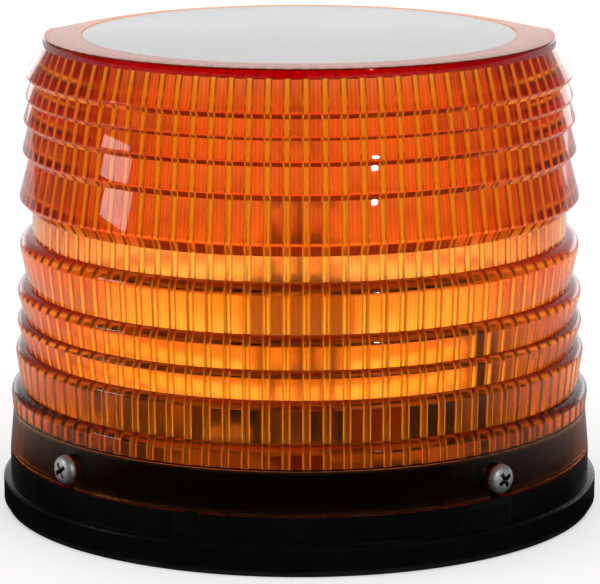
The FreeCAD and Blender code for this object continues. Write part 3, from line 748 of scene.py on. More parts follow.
def amber_polycarbonate():
    """Clear amber moulding, polished outside, with a matt bore. Its colour is mostly painted light and shade: a
    painted yellow glow on the ribs, painted refraction streaks on the redder lands between them, painted shade on
    the lands above the belt and on the upward noses, and a painted dark skirt.
    """
    finish = Finish("amber_polycarbonate", IOR=1.58, Transmission_Weight=1.0, Specular_Tint=0.3)
    bore = finish.mask("bore")
    rib = finish.mask("rib")
    level = finish.split(finish.place())[2]
    upper = finish.spread(level, BELT_FOOT, BELT_FOOT + 2 * BELT_HEIGHT)
    # Painted refraction streaks across each land, between painted bright and dark tints, darker above the belt as
    # painted shade
    streaks = finish.ramp(finish.mask("across"), PAINTED_REFRACTION_STREAKS)
    land = finish.mix(streaks, *(finish.mix(upper, *tints) for tints in (PAINTED_BRIGHT_LAND_TINTS, PAINTED_DARK_LAND_TINTS)))
    # Painted yellow glow on the ribs
    inside = finish.mix(rib, land, PAINTED_RIB_GLOW)
    # Painted dark red shade where the outside of the lower rings faces up
    rise = finish.spread(finish.split(finish.normal())[2], 0.45, 0.8)
    nose = finish.times(rise, finish.calc("SUBTRACT", 1.0, finish.calc("MAXIMUM", bore, upper)))
    # Painted dark shade on the skirt, which leaves its rounded foot clear
    skirt = finish.times(
        finish.spread(level, SHOULDER_LEVEL, SHOULDER_LEVEL - MM),
        finish.spread(level, LENS_LOW.z + SKIRT_FOOT_ROUND, LENS_LOW.z + 2 * SKIRT_FOOT_ROUND))
    outside = finish.mix(skirt, finish.mix(nose, 1.0, PAINTED_NOSE_SHADE), PAINTED_SKIRT_SHADE)
    finish.feed("Base Color", finish.mix(bore, outside, inside))
    matt = finish.times(bore, finish.spread(rib, 0.0, 0.6, LAND_MATT, RIB_MATT))
    soft = finish.calc("MULTIPLY_ADD", nose, NOSE_MATT, matt)
    finish.feed("Roughness", finish.calc("ADD", finish.grain(900.0, POLISH)["Roughness"], soft))
    absorption = finish.shade("VolumeAbsorption", AMBER_ABSORPTION)[0]
    finish.tree.links.new(absorption, finish.tree.nodes["Material Output"].inputs["Volume"])
    return finish


def clear_glass(name, ior):
    finish = Finish(name, Base_Color=1.0, IOR=ior, Transmission_Weight=1.0)
    finish.feed("Roughness", finish.grain(700.0, (0.0, 0.03))["Roughness"])
    return finish


def laminate():
    """White-coated glass-fibre board: a faint weave under the coat, and bare cut edges."""
    finish = Finish("board_laminate", Specular_IOR_Level=0.35)
    grain = finish.grain(1800.0, (0.3, 0.5))
    thread = {"Vector": finish.place(), "Scale": 260.0, "Distortion": 1.5}
    weave = finish.times(*(finish.shade("TexWave", thread, bands_direction=axis)["Fac"] for axis in "XY"))
    face = finish.mix(grain["Tone"], (0.86, 0.86, 0.84), (0.91, 0.91, 0.89))
    face = finish.mix(finish.times(weave, 0.3), face, (0.82, 0.81, 0.77))
    flat = finish.spread(finish.calc("ABSOLUTE", finish.split(finish.normal())[2]), 0.4, 0.6)
    finish.feed("Base Color", finish.mix(flat, (0.30, 0.20, 0.09), face))
    finish.feed("Roughness", grain["Roughness"])
    finish.bump(weave, 0.01 * MM)
    return finish


def banded(name, dark, light, bands, roughness):
    """Lacquered body with tinned leads, and painted bands whose colours follow each part's own number."""
    finish = moulded(name, dark, light, roughness, 1500.0, 0.01)
    band = finish.mask("band")
    number = finish.calc("FRACT", finish.calc("MULTIPLY_ADD", band, 0.37, finish.mask("kind")))
    stops = [(index / len(bands), colour) for index, colour in enumerate(bands)] + [(1.0, bands[-1])]
    finish.cover(finish.calc("GREATER_THAN", band, 0.5), finish.ramp(number, stops, "CONSTANT"))
    return finish.cover("lead", (0.62, 0.62, 0.60), bare=True)


# A moulded finish has a dark and a light tone, a roughness range, a grain scale and a grain depth in mm. A metal
# has the scale of its lines along each axis in place of the grain scale.
FINISHES = (
    amber_polycarbonate(),
    laminate(),
    clear_glass("tube_glass", ior=1.46),
    clear_glass("dome_glass", ior=1.47),
    moulded("label_film", (0.77, 0.77, 0.78), (0.83, 0.83, 0.84), (0.32, 0.42), 1600.0, 0.01),
    moulded(
        "black_plastic", (0.0020, 0.0020, 0.0022), (0.0038, 0.0038, 0.0042), (0.22, 0.34), 2200.0, 0.02,
        worn=(0.02, 0.02, 0.022), dusty=0.006, Specular_IOR_Level=0.08),
    moulded("black_rubber", 0.006, 0.014, (0.6, 0.8), 1200.0, 0.03, dusty=0.03, Specular_IOR_Level=0.2),
    moulded("foam_rubber", 0.006, 0.018, (0.8, 0.95), 2600.0, 0.12, Specular_IOR_Level=0.15),
    moulded("board_print", (0.030, 0.030, 0.032), (0.060, 0.060, 0.064), (0.5, 0.6), 2500.0, 0.005),
    moulded(
        "holder_plastic", (0.95, 0.95, 0.94), (1.0, 1.0, 0.99), (0.03, 0.10), 2000.0, 0.005,
        Transmission_Weight=1.0, IOR=1.49),
    moulded("base_ceramic", (0.93, 0.93, 0.91), (0.97, 0.97, 0.95), (0.14, 0.3), 1400.0, 0.01, Coat_Weight=0.3),
    moulded("ferrite", (0.018, 0.018, 0.019), (0.035, 0.035, 0.036), (0.45, 0.65), 3000.0, 0.02, worn=0.08),
    moulded(
        "capacitor_sleeve", (0.70, 0.72, 0.74), (0.78, 0.80, 0.82), (0.2, 0.34), 900.0, 0.01,
    ).cover("stripe", (0.03, 0.03, 0.035)).cover("lid", (0.72, 0.72, 0.73), bare=True),
    moulded(
        "transistor_epoxy", (0.010, 0.010, 0.011), (0.018, 0.018, 0.019), (0.4, 0.55), 2600.0, 0.02,
    ).cover("bare", (0.70, 0.70, 0.68), bare=True),
    moulded("bobbin_plastic", (0.80, 0.78, 0.70), (0.86, 0.84, 0.77), (0.35, 0.5), 2000.0, 0.015),
    moulded("potting", (0.55, 0.53, 0.45), (0.66, 0.64, 0.55), (0.25, 0.45), 700.0, 0.05),
    moulded("film_capacitor", (0.26, 0.045, 0.018), (0.36, 0.075, 0.03), (0.12, 0.28), 350.0, 0.06, Coat_Weight=0.4),
    moulded("chip_epoxy", (0.010, 0.010, 0.011), (0.017, 0.017, 0.018), (0.45, 0.6), 3000.0, 0.02),
    moulded("terminal_plastic", (0.55, 0.56, 0.57), (0.64, 0.65, 0.66), (0.28, 0.42), 1800.0, 0.015, dusty=0.04),
    banded(
        "resistor_lacquer", (0.50, 0.36, 0.19), (0.60, 0.45, 0.26),
        ((0.30, 0.10, 0.03), (0.50, 0.02, 0.01), (0.72, 0.32, 0.02), 0.02, (0.05, 0.09, 0.36)), (0.2, 0.32)),
    banded("diode_epoxy", (0.012, 0.012, 0.013), (0.020, 0.020, 0.021), ((0.62, 0.62, 0.60),), (0.3, 0.45)),
    # Steel screws; their cross recess is painted near black as painted shade
    metal(
        "screw_steel", (0.88, 0.88, 0.87), (0.96, 0.96, 0.95), (0.45, 0.65), (1500.0, 1500.0, 1500.0), 0.006,
        worn=(0.92, 0.92, 0.91),
    ).cover("recess", 0.02),
    metal("insert_brass", (0.62, 0.43, 0.16), (0.78, 0.57, 0.24), (0.2, 0.35), (900.0, 900.0, 4000.0)),
    metal("bright_wire", (0.60, 0.58, 0.54), (0.74, 0.72, 0.68), (0.18, 0.35), (900.0, 900.0, 200.0)),
    metal("core_laminations", (0.42, 0.42, 0.43), (0.55, 0.55, 0.56), (0.35, 0.6), (400.0, 400.0, 400.0)),
    metal(
        "enamelled_copper", (0.46, 0.17, 0.06), (0.64, 0.27, 0.10), (0.2, 0.34), (300.0, 300.0, 2500.0),
        Coat_Weight=0.5, Coat_Roughness=0.1),
    metal(
        "sink_aluminium", (0.62, 0.63, 0.64), (0.78, 0.79, 0.80), (0.26, 0.42), (2200.0, 2200.0, 60.0), 0.012,
        worn=0.88),
    metal("tinned_legs", (0.58, 0.58, 0.56), (0.72, 0.72, 0.70), (0.22, 0.4), (500.0, 500.0, 900.0)),
)
MATERIALS = {finish.name: finish.material for finish in FINISHES}


# Lens

def lens_outside():
    """Outline of the lens from the foot of the skirt to the middle of its top."""
    foot, top = LENS_LOW.z, LENS_HIGH.z
    level = foot + SKIRT_HEIGHT
    corners = [(SKIRT_RADIUS - SKIRT_WALL, foot), (SKIRT_RADIUS, foot, SKIRT_FOOT_ROUND)]
    corners.append((SKIRT_RADIUS - SKIRT_DRAFT, level))
    for height, crest, edge in LOWER_RINGS:
        level += height * MM
        depth = (edge - crest) * MM
        for step in range(NOSE_STEPS + 1):
            turn = QUARTER_TURN * step / NOSE_STEPS
            corners.append((SKIRT_RADIUS - edge * MM + depth * math.cos(turn), level - depth * (1 - math.sin(turn))))
    level += BELT_HEIGHT
    below = BELT_INSET
    corners.append((SKIRT_RADIUS - below * MM, level))
    for height, crest, edge in UPPER_RINGS:
        corners.append((SKIRT_RADIUS - crest * MM, level + (below - crest) * MM, UPPER_CREST_ROUND))
        level += height * MM
        corners.append((SKIRT_RADIUS - edge * MM, level))
        below = edge
    recess_radius = LABEL_HIGH.x + LABEL_EDGE_GAP
    corners += [(SKIRT_RADIUS - below * MM, top, RIM_ROUND), (recess_radius, top), (recess_radius, LABEL_LOW.z)]
    return rounded_path(corners) + [Vector((0.0, LABEL_LOW.z))]


def lens_inside():
    """Outline of the bore, from the middle of its top down its ribbed rows and out to the skirt."""
    top = LENS_HIGH.z - TOP_THICKNESS
    path = [Vector((0.0, top))]
    for row in range(BORE_ROWS + 1):
        share = row / BORE_ROWS
        inset = BORE_TOP_INSET + (BORE_FOOT_INSET - BORE_TOP_INSET) * share
        path.append(Vector((SKIRT_RADIUS - inset, top + (SHOULDER_LEVEL - top) * share)))
    return path + [Vector((SKIRT_RADIUS - SKIRT_WALL, SHOULDER_LEVEL))]


def on_skirt(mesh, finish, radius):
    """Copies of a mesh at the lens screws' places on a circle, facing outwards."""
    return grown(
        RING, mesh, finish, Count=LENS_SCREW_COUNT, Circle_Radius=radius, First_Angle=LENS_SCREW_FIRST_ANGLE,
        Level=LENS_SCREW_LEVEL, Tilt=QUARTER_TURN)


def skirt_slots():
    """Cutter for the open-ended slots over the lens screws."""
    outline = [(2 * SKIRT_HEIGHT, -SLOT_HALF_WIDTH), (2 * SKIRT_HEIGHT, SLOT_HALF_WIDTH)]
    for step in range(SLOT_ARC_STEPS + 1):
        outline.append(on_circle(SLOT_HALF_WIDTH, QUARTER_TURN + math.pi * step / SLOT_ARC_STEPS).xy)
    inner_end = -SKIRT_WALL - MM
    shape = bmesh.new()
    face = shape.faces.new([shape.verts.new((x, y, inner_end)) for x, y in outline])
    return on_skirt(pulled(shape, [face], (0.0, 0.0, MM - inner_end)), "amber_polycarbonate", SKIRT_RADIUS)


def rib_angles(share):
    """Angles of the lens segments: close together over each rib's arc, with one more in the middle of each land."""
    pitch = FULL_TURN / RIB_COUNT
    angles = []
    for rib in range(RIB_COUNT):
        for step in range(ARC_STEPS_PER_RIB + 1):
            across = math.sin(math.pi * (step / ARC_STEPS_PER_RIB - 0.5))
            angles.append(pitch * (rib + 0.5 * share * across))
        angles.append(pitch * (rib + 0.5))
    return angles


def lens():
    rib_share = RIB_WIDTH * RIB_COUNT / (FULL_TURN * (SKIRT_RADIUS - BORE_FOOT_INSET))
    angles = rib_angles(rib_share)
    blank = lathe(lens_inside() + lens_outside(), len(angles), angles=angles)
    bore_points = range(1, 1 + (BORE_ROWS + 1) * len(angles))
    store(blank, "bore", "POINT", [float(index in bore_points) for index in range(len(blank.vertices))])
    mesh = grown(
        RIBS, blank, "amber_polycarbonate", Rib_Count=float(RIB_COUNT), Rib_Share=rib_share, Rib_Height=RIB_HEIGHT)
    mesh = carved(mesh, skirt_slots())
    finished("amber_lens", mesh, "amber_polycarbonate", "lens", body="lens_cover")


def label():
    """Bare film disc that lies in the recess of the lens top."""
    foot, top, radius = LABEL_LOW.z + LABEL_LIFT, LABEL_HIGH.z, LABEL_HIGH.x
    corners = [(0.0, foot), (radius, foot, 0.05 * MM), (radius, top, 0.15 * MM), (0.0, top)]
    mesh = lathe(rounded_path(corners, arc_steps=3), segments=256)
    finished("label_disc", mesh, "label_film", "lens_label", body="lens_cover")


# Screws

def threaded_shank(radius, length, pitch):
    """Shank along -Z with a raised thread and a blunt tip."""
    depth = radius * THREAD_DEPTH_SHARE
    row_count = round(length / pitch * THREAD_ROWS_PER_TURN)
    rows = []
    for row in range(row_count + 1):
        level = -length * (1 - row / row_count)
        tip = min(1.0, 0.75 + (level + length) / (4 * pitch))
        places = []
        for segment in range(THREAD_SEGMENTS):
            turn = segment / THREAD_SEGMENTS
            groove = abs(2 * ((level / pitch - turn) % 1.0) - 1)
            places.append(on_circle((radius - depth * groove) * tip, FULL_TURN * turn, level))
        rows.append(places)
    return bridged(rows)


def recess_blade(head, along_x, along_y):
    """Cutter for one tapered wing pair of a cross recess."""
    radius, height = head
    rows = []
    for level, reach, half_width in RECESS_ENDS:
        corners = ((-reach, -half_width), (reach, -half_width), (reach, half_width), (-reach, half_width))
        rows.append([
            ((x * along_x - y * along_y) * radius, (x * along_y + y * along_x) * radius, level * height)
            for x, y in corners])
    return bridged(rows)


def pan_head(head):
    """Domed screw head with a cross recess, its underside at zero."""
    radius, height = head
    side = 0.32 * height
    path = [(0.0, 0.0), (0.94 * radius, 0.0), (radius, 0.06 * radius), (radius, side)]
    dome_steps = 10
    for step in range(1, dome_steps):
        angle = QUARTER_TURN * step / dome_steps
        path.append((radius * math.cos(angle) ** 0.6, side + (height - side) * math.sin(angle)))
    mesh = lathe(path + [(0.0, height)], segments=48)
    for way in ((1, 0), (0, 1)):
        mesh = carved(mesh, recess_blade(head, *way))
    # Faces of the cross recess, which the steel finish paints dark as painted shade
    paint_faces(mesh, "recess", lambda middle: middle.xy.length < 0.7 * radius and 0.1 < middle.z / height < 0.85)
    mesh.transform(Matrix.Rotation(RECESS_TURN, 4, "Z"))
    return mesh


def screw(size, length):
    """Screw whose shank hangs from a head at zero."""
    radius, pitch, head = size
    return joined(pan_head(head), threaded_shank(radius, length, pitch))


def lens_screws():
    mesh = on_skirt(screw(LENS_SCREW, LENS_SCREW_LENGTH), "screw_steel", LENS_SCREW_SEAT)
    finished("skirt_screws", mesh, "screw_steel", "lens_screws", angle=40.0)


def board_screws():
    box = solid_boxes("board_screws")[0]
    mesh = grown(
        RING, screw(BOARD_SCREW, BOARD_TOP - box[0].z), "screw_steel", Count=BOARD_SCREW_COUNT,
        Circle_Radius=foot_of(box).xy.length, First_Angle=BOARD_SCREW_FIRST_ANGLE, Level=BOARD_TOP, Tilt=0.0)
    finished("board_fixings", mesh, "screw_steel", "board_screws", angle=40.0)


# Flash tube

def flash_tube():
    """U of thin glass that opens downwards, with bare rims at its sealed-in feet."""
    low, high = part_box("flash_tube")
    radius = (high.y - low.y) / 2
    wall = 0.7 * MM
    half = (high.x - low.x) / 2 - radius
    bend_level = high.z - radius - half
    bend_steps = 24
    path = [Vector((-half, 0.0, low.z))]
    for step in range(bend_steps + 1):
        angle = math.pi - math.pi * step / bend_steps
        path.append(Vector((half * math.cos(angle), 0.0, bend_level + half * math.sin(angle))))
    path.append(Vector((half, 0.0, low.z)))
    outer, inner = (tube_rows(path, size, sides=32) for size in (radius, radius - wall))
    mesh = bridged(outer + inner[::-1], capped=False)
    finished("discharge_tube", mesh, "tube_glass", "flash_tube")


def tube_dome():
    """Blown glass cover with a crowned end and a fire-polished foot."""
    low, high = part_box("tube_dome")
    radius, foot, top = high.x, low.z, high.z
    wall = 1.3 * MM
    crown = 8.0 * MM
    bead = 0.6 * MM
    rise = 4.0 * MM
    outside = [(radius, foot, bead), (radius, top - rise, crown), (0.0, top)]
    inside = [(0.0, top - wall), (radius - wall, top - rise - 0.4 * wall, crown - wall), (radius - wall, foot, bead)]
    rim = [(radius - wall / 2, foot)]
    mesh = lathe(rounded_path(rim + outside + inside + rim, arc_steps=8)[:-1], segments=96, closed=True)
    finished("glass_dome", mesh, "dome_glass", "tube_dome")


# Supply on the board

def capacitor_can(radius, height):
    """Can in a shrunk sleeve with a rolled crimp, and a lid scored with a vent cross."""
    crimp = 3.6 * MM
    crimp_half = 0.9 * MM
    lip = 1.4 * MM
    lid_level = height - 0.45 * MM
    corners = [
        (0.0, 0.0), (radius, 0.0, 0.9 * MM), (radius, crimp - crimp_half, 0.5 * MM),
        (radius - 0.7 * MM, crimp, 0.6 * MM), (radius, crimp + crimp_half, 0.5 * MM), (radius, height, 1.1 * MM),
        (radius - lip, height, 0.25 * MM), (radius - lip, lid_level), (0.0, lid_level + 0.1 * MM)]
    mesh = lathe(rounded_path(corners), segments=64)
    reach, half_width, depth = 0.62 * radius, 0.22 * MM, 0.2 * MM
    vent_turn = 0.3
    for turn in (vent_turn, vent_turn + QUARTER_TURN):
        shape = bmesh.new()
        verts = add_box(shape, (-reach, -half_width, lid_level - depth), (reach, half_width, height + MM))
        bmesh.ops.rotate(shape, verts=verts, cent=(0, 0, 0), matrix=Matrix.Rotation(turn, 3, "Z"))
        mesh = carved(mesh, mesh_of(shape))
    stripe_middle = math.radians(250.0)
    stripe_half = 0.3
    paint_faces(mesh, "lid", lambda middle: (
        middle.z > lid_level - 2 * depth and middle.xy.length < radius - 0.95 * lip))
    paint_faces(mesh, "stripe", lambda middle: (
        middle.xy.length > 0.9 * radius and middle.z > crimp + MM
        and abs(math.remainder(math.atan2(middle.y, middle.x) - stripe_middle, FULL_TURN)) < stripe_half))
    return mesh


def storage_capacitors():
    boxes = solid_boxes("storage_capacitors")
    low, high = boxes[0]
    can = capacitor_can((high.x - low.x) / 2, high.z - low.z)
    mesh = scattered(can, [foot_of(box) for box in boxes], "capacitor_sleeve")
    finished("capacitor_cans", mesh, "capacitor_sleeve", "storage_capacitors", angle=35.0)


def transformer_core():
    """Stack of laminations, each with two windows for the winding."""
    low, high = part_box("transformer_core")
    sheet, limb, centre_limb = 0.5 * MM, 4.5 * MM, 9.0 * MM
    middle = (low.y + high.y) / 2
    across = [low.y, low.y + limb, middle - centre_limb / 2, middle + centre_limb / 2, high.y - limb, high.y]
    up = [low.z, low.z + limb, high.z - limb, high.z]
    windows = ((1, 1), (3, 1))
    shape = bmesh.new()
    grid = {(i, j): shape.verts.new((low.x, y, z)) for i, y in enumerate(across) for j, z in enumerate(up)}
    faces = [
        shape.faces.new((grid[i, j], grid[i, j + 1], grid[i + 1, j + 1], grid[i + 1, j]))
        for i in range(len(across) - 1) for j in range(len(up) - 1) if (i, j) not in windows]
    plate = pulled(shape, faces, (0.9 * sheet, 0.0, 0.0))
    places = [(sheet * (index + 0.05), 0.0, 0.0) for index in range(round((high.x - low.x) / sheet))]
    mesh = scattered(plate, places, "core_laminations")
    finished("core_laminations", mesh, "core_laminations", "transformer_core")


def wound(name, node, wire_radius, corner=None):
    """Close turns of enamelled wire in the room of a winding's CAD node."""
    low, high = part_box(node)
    width = high.x - low.x - 2 * wire_radius
    mesh = grown(
        WINDING, mesh_from([(0, 0, 0)]), "enamelled_copper", Width=width, Depth=high.y - low.y - 2 * wire_radius,
        Corner=corner or 0.499 * width, Wire_Radius=wire_radius, Turns=int((high.z - low.z) / (2 * wire_radius)),
        Foot=foot_of((low, high)) + UP * wire_radius)
    finished(name, mesh, "enamelled_copper", node, angle=60.0)


def trigger_coil():
    """Potted coil: fine turns show through the resin between two end cheeks."""
    low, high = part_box("trigger_coil")
    radius, height = (high.x - low.x) / 2, high.z - low.z
    cheek = 0.12 * height
    drum = 0.86 * radius
    turns = 22
    dimple = height - 0.6 * MM
    path = [(0.0, 0.0), (radius, 0.0, 0.3 * MM), (radius, cheek, 0.3 * MM)]
    for turn in range(turns):
        level = cheek + (height - 2 * cheek) * (turn + 0.5) / turns
        path += [(drum - 0.12 * MM, level - 0.2 * MM), (drum, level)]
    path += [(radius, height - cheek, 0.3 * MM), (radius, height, 0.5 * MM), (0.35 * radius, height, 0.2 * MM)]
    path += [(0.3 * radius, dimple, 0.2 * MM), (0.0, dimple)]
    mesh = lathe(rounded_path(path, arc_steps=3), segments=64)
    mesh.transform(Matrix.Translation(foot_of((low, high))))
    finished("potted_coil", mesh, "potting", "trigger_coil")


def transistor():
    """Epoxy body on a bare tab and legs, with the screw that holds it to the heat sink."""
    low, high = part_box("power_transistor")
    mesh = bevelled(mesh_of(merged_shape("power_transistor")), 0.18 * MM)
    margin = 0.05 * MM
    body_foot, body_top = low.z + 2.0 * MM - margin, high.z - 6.0 * MM + margin
    tab_front = high.y - 1.35 * MM
    paint_faces(mesh, "bare", lambda middle: not body_foot <= middle.z <= body_top or middle.y > tab_front)
    finished("tab_transistor", mesh, "transistor_epoxy", "power_transistor")
    low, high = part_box("heat_sink_screw")
    head_height = 1.8 * MM
    size = (1.5 * MM, 0.5 * MM, ((high.x - low.x) / 2, head_height))
    fixing = screw(size, high.y - low.y - head_height)
    seat = Vector(((low.x + high.x) / 2, low.y + head_height, (low.z + high.z) / 2))
    fixing.transform(Matrix.Translation(seat) @ Matrix.Rotation(QUARTER_TURN, 4, "X"))
    finished("sink_fixing", fixing, "screw_steel", "heat_sink_screw", angle=40.0)


def film_capacitor():
    """Dipped capacitor: a softly swollen block on two leads."""
    low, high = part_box("trigger_capacitor")
    shape = bmesh.new()
    add_box(shape, (low.x, low.y, low.z + 1.2 * MM), high)
    block = bevelled(mesh_of(shape), 2.2 * MM, segments=5)
    finished("dipped_capacitor", block, "film_capacitor", "trigger_capacitor", angle=50.0)
    leads = []
    for share in (0.25, 0.75):
        foot = Vector((low.x + share * (high.x - low.x), (low.y + high.y) / 2, low.z))
        leads.append(bridged(tube_rows([foot, foot + UP * 2.0 * MM], 0.4 * MM, sides=12)))
    finished("dipped_capacitor_leads", joined(*leads), "tinned_legs", None)


def chip():
    """Dual in-line package with drafted sides, an end notch, a pin mark and bent legs."""
    low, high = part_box("control_chip")
    middle = (low.y + high.y) / 2
    half_width, half_seam = 3.1 * MM, 3.25 * MM
    under, seam, top = low.z + 0.6 * MM, low.z + 2.2 * MM, high.z
    section = [(-half_width, under), (half_width, under), (half_seam, seam), (half_width, top), (-half_width, top),
               (-half_seam, seam)]
    body = bridged([[(x, middle + y, z) for y, z in section] for x in (low.x, high.x)])
    depth = 0.35 * MM
    for x, y, radius in ((low.x, middle, 1.3 * MM), (low.x + 2.2 * MM, middle - 1.9 * MM, 0.5 * MM)):
        notch = lathe([(0.0, -depth), (radius, -depth), (radius, MM), (0.0, MM)], segments=24)
        notch.transform(Matrix.Translation((x, y, top)))
        body = carved(body, notch)
    finished("chip_body", bevelled(body, 0.08 * MM, segments=1, angle=20.0), "chip_epoxy", "control_chip")
    count, pitch = 7, 2.54 * MM
    places = [((low.x + high.x) / 2 + pitch * (index - (count - 1) / 2), 0.0, 0.0) for index in range(count)]
    wide, narrow, half_sheet = 0.6 * MM, 0.25 * MM, 0.15 * MM
    reach = high.y - middle
    for side, name in ((-1, "chip_legs_front"), (1, "chip_legs_back")):
        near, bend, far = (middle + side * place for place in (half_seam - 0.2 * MM, reach - 2 * half_sheet, reach))
        shape = bmesh.new()
        for half, inner, bottom, upper in (
                (wide, near, seam - half_sheet, seam + half_sheet),
                (wide, bend, low.z + 0.9 * MM, seam + 0.1 * MM),
                (narrow, bend, low.z, low.z + MM)):
            add_box(shape, (-half, min(inner, far), bottom), (half, max(inner, far), upper))
        legs = scattered(bevelled(mesh_of(shape), 0.06 * MM, segments=1), places, "tinned_legs")
        finished(name, legs, "tinned_legs", None)


def axial_part(box, body_length, band_places, end_swell):
    """Lacquered body along Y with painted bands, on two bent leads that stand on the board."""
    low, high = box
    radius = (high.x - low.x) / 2
    axis_level = high.z - low.z - radius
    half = body_length / 2
    waist = radius * (1 - end_swell)
    band_half = 0.28 * MM
    ease = 0.4 * MM
    path = [(0.0, -half), (radius, -half, 0.35 * radius)]
    if end_swell:
        path += [(radius, -0.55 * half, ease), (waist, -0.4 * half, ease)]
    path += [(waist, half * place + edge) for place in band_places for edge in (-band_half, band_half)]
    if end_swell:
        path += [(waist, 0.4 * half, ease), (radius, 0.55 * half, ease)]
    path += [(radius, half, 0.35 * radius), (0.0, half)]
    body = lathe(rounded_path(path, arc_steps=3), segments=28)

    def band_number(middle):
        painted = [abs(middle.z - half * place) < band_half - 0.01 * MM for place in band_places]
        return painted.index(True) + 1 if True in painted else 0

    paint_faces(body, "band", band_number)
    paint_faces(body, "lead", lambda middle: False)
    body.transform(Matrix.Translation((0.0, 0.0, axis_level)) @ Matrix.Rotation(-QUARTER_TURN, 4, "X"))
    wire = 0.3 * MM
    foot = (high.y - low.y) / 2 - wire
    bend = 0.8 * MM
    bend_steps = 3
    parts = [body]
    for side in (-1, 1):
        line = [Vector((0.0, side * foot, 0.0))]
        for step in range(bend_steps + 1):
            turn = QUARTER_TURN * step / bend_steps
            line.append(Vector((
                0.0, side * (foot - bend * (1 - math.cos(turn))), axis_level - bend * (1 - math.sin(turn)))))
        line.append(Vector((0.0, side * 0.9 * half, axis_level)))
        lead = bridged(tube_rows(line, wire, sides=10))
        paint_faces(lead, "band", lambda middle: False)
        paint_faces(lead, "lead", lambda middle: True)
        parts.append(lead)
    return joined(*parts)


def axial_parts():
    for name, node, finish, seed, shape in (
            ("resistor_row", "resistors", "resistor_lacquer", 4, (6.4 * MM, (-0.3, -0.1, 0.1, 0.3), 0.16)),
            ("diode_group", "diodes", "diode_epoxy", 2, (5.2 * MM, (0.62,), 0.0))):
        boxes = solid_boxes(node)
        mesh = scattered(axial_part(boxes[0], *shape), [foot_of(box) for box in boxes], finish, seed)
        finished(name, mesh, finish, node, angle=40.0)


def board_print():
    """Printed outlines round the parts on the board."""
    prints = []
    for node in RINGED_NODES:
        for low, high in solid_boxes(node):
            inner = (high.x - low.x) / 2 + PRINT_MARGIN
            outer = inner + PRINT_WIDTH
            section = [(inner, BOARD_TOP), (outer, BOARD_TOP), (outer, PRINT_TOP), (inner, PRINT_TOP)]
            prints.append(lathe(section, segments=64, closed=True))
            prints[-1].transform(Matrix.Translation(foot_of((low, high)).xy.to_3d()))
    for node in FRAMED_NODES:
        for low, high in solid_boxes(node):
            rows = []
            for level, side in ((BOARD_TOP, 1), (PRINT_TOP, 1), (PRINT_TOP, -1), (BOARD_TOP, -1)):
                reach = PRINT_MARGIN + side * PRINT_WIDTH / 2
                left, right, front, back = low.x - reach, high.x + reach, low.y - reach, high.y + reach
                rows.append([(left, front, level), (right, front, level), (right, back, level), (left, back, level)])
            prints.append(bridged(rows, capped=False))
    finished("board_print", joined(*prints), "board_print", None)


# Plain pieces of the base: name, CAD node, finish and the width in mm that rounds their sharp edges
NODE_COPIES = (
    ("mounting_pad", "mounting_gasket", "foam_rubber", 0.25),
    ("cable_bush", "cable_grommet", "black_rubber", 0.0),
    ("sealing_ring", "lens_seal", "black_rubber", 0.12),
    ("threaded_inserts", "screw_inserts", "insert_brass", 0.1),
    ("laminate_disc", "circuit_board", "board_laminate", 0.12),
    ("tube_stand", "tube_holder", "holder_plastic", 0.3),
    ("ceramic_base", "tube_base", "base_ceramic", 0.25),
    ("plug_pins", "tube_pins", "insert_brass", 0.0),
    ("electrodes", "tube_electrodes", "bright_wire", 0.1),
    ("trigger_strap", "trigger_band", "bright_wire", 0.1),
    ("winding_bobbin", "transformer_bobbin", "bobbin_plastic", 0.2),
    ("finned_sink", "heat_sink", "sink_aluminium", 0.25),
    ("choke_drum", "choke_core", "ferrite", 0.15),
    ("terminal_body", "terminal_block", "terminal_plastic", 0.25),
    ("clamp_screws", "terminal_screws", "screw_steel", 0.12),
)


# Studio

def camera():
    data = with_settings(
        bpy.data.cameras.new("photo_camera"), lens=CAMERA_LENS, shift_x=CAMERA_SHIFT_X, clip_start=0.01)
    SCENE.camera = with_settings(
        add_object("photo_camera", data),
        location=on_circle(CAMERA_DISTANCE, CAMERA_AZIMUTH - QUARTER_TURN, CAMERA_HEIGHT),
        rotation_euler=(QUARTER_TURN - CAMERA_PITCH, 0.0, CAMERA_AZIMUTH))


def world():
    """White studio that lights mostly from above. Mirrored rays see it dark, but white straight behind."""
    SCENE.world = bpy.data.worlds.new("white_studio")
    SCENE.world.use_nodes = True
    sky = Nodes(SCENE.world.node_tree)
    background = sky.tree.nodes["Background"]
    set_input(background.inputs["Color"], 1.0)
    rays = sky.shade("LightPath")
    axes = sky.split(sky.shade("TexCoord")["Generated"])
    side = sky.spread(axes[1], *SIDE_SPAN, FRONT_MIRRORED, SIDE_MIRRORED)
    behind = sky.spread(axes[1], *BEHIND_SPAN)
    mirrored = sky.times(rays["Is Glossy Ray"], sky.calc("MAXIMUM", side, behind))
    fill = sky.times(rays["Is Diffuse Ray"], sky.spread(axes[2], 0.0, 1.0, LOW_FILL, HIGH_FILL))
    white = sky.calc("ADD", rays["Is Camera Ray"], rays["Is Transmission Ray"])
    strength = sky.calc("ADD", white, sky.calc("ADD", mirrored, fill))
    sky.tree.links.new(strength, background.inputs["Strength"])


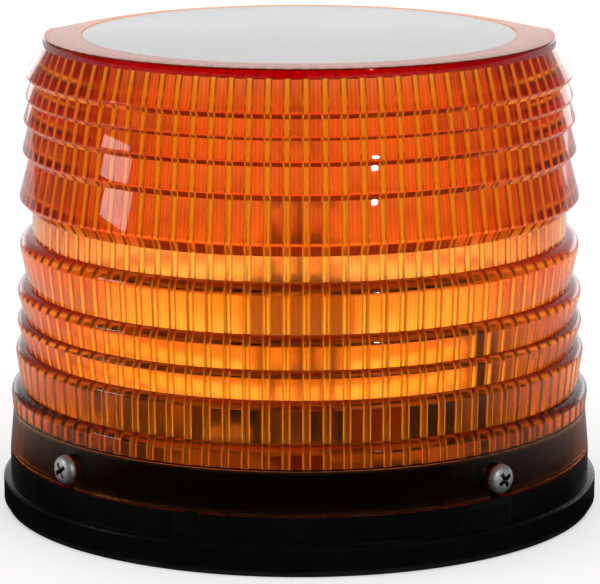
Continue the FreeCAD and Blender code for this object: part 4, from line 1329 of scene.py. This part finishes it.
def floor():
    """Pale floor for the shadow, white to the camera and through the lens, and dark where the front mirrors it."""
    half = FLOOR_HALF
    mesh = mesh_from([(-half, -half, 0), (half, -half, 0), (half, half, 0), (-half, half, 0)], [(0, 1, 2, 3)])
    finish = Finish("pale_floor", Emission_Color=1.0, Specular_IOR_Level=0.0)
    rays = finish.shade("LightPath")
    axes = finish.split(finish.place())
    front = finish.spread(axes[1], *PATCH_FADE_BEHIND, 1.0, 0.0)
    middle = finish.spread(finish.calc("ABSOLUTE", axes[0]), *PATCH_FADE_BESIDE, 1.0, 0.0)
    grain = finish.grain(60.0, (0.85, 0.95))
    pale = finish.mix(grain["Tone"], *FLOOR_TONES)
    dimmed = finish.times(rays["Is Glossy Ray"], front, middle)
    finish.feed("Base Color", finish.mix(dimmed, pale, DARK_PATCH))
    finish.feed("Roughness", grain["Roughness"])
    seen = finish.times(rays["Is Camera Ray"], FLOOR_GLOW)
    glow = finish.calc("MULTIPLY_ADD", rays["Is Transmission Ray"], FLOOR_THROUGH, seen)
    finish.feed("Emission Strength", glow)
    add_object("floor", mesh, finish.material)


def lamp(name, place, width, height, watts):
    """Soft lamp that faces the beacon."""
    light = with_settings(
        bpy.data.lights.new(name, "AREA"), shape="RECTANGLE", size=width, size_y=height, energy=watts)
    turn = (LAMP_AIM - Vector(place)).to_track_quat("-Z", "Y").to_euler()
    with_settings(add_object(name, light), location=place, rotation_euler=turn)


SCENE.view_settings.view_transform = "Standard"
with_settings(SCENE.cycles, max_bounces=32, transmission_bounces=32, glossy_bounces=12)

camera()
world()
floor()
for row in LAMPS:
    lamp(*row)

lens()
label()
lens_screws()
node_copy("housing_shell", "base_housing", "black_plastic", angle=28.0)
for name, node, finish, width in NODE_COPIES:
    node_copy(name, node, finish, width * MM)
board_print()
board_screws()
flash_tube()
tube_dome()
storage_capacitors()
transformer_core()
wound("transformer_turns", "transformer_winding", wire_radius=0.3 * MM, corner=4.0 * MM)
trigger_coil()
transistor()
wound("choke_turns", "choke_winding", wire_radius=0.35 * MM)
film_capacitor()
chip()
axial_parts()

bpy.context.view_layer.update()
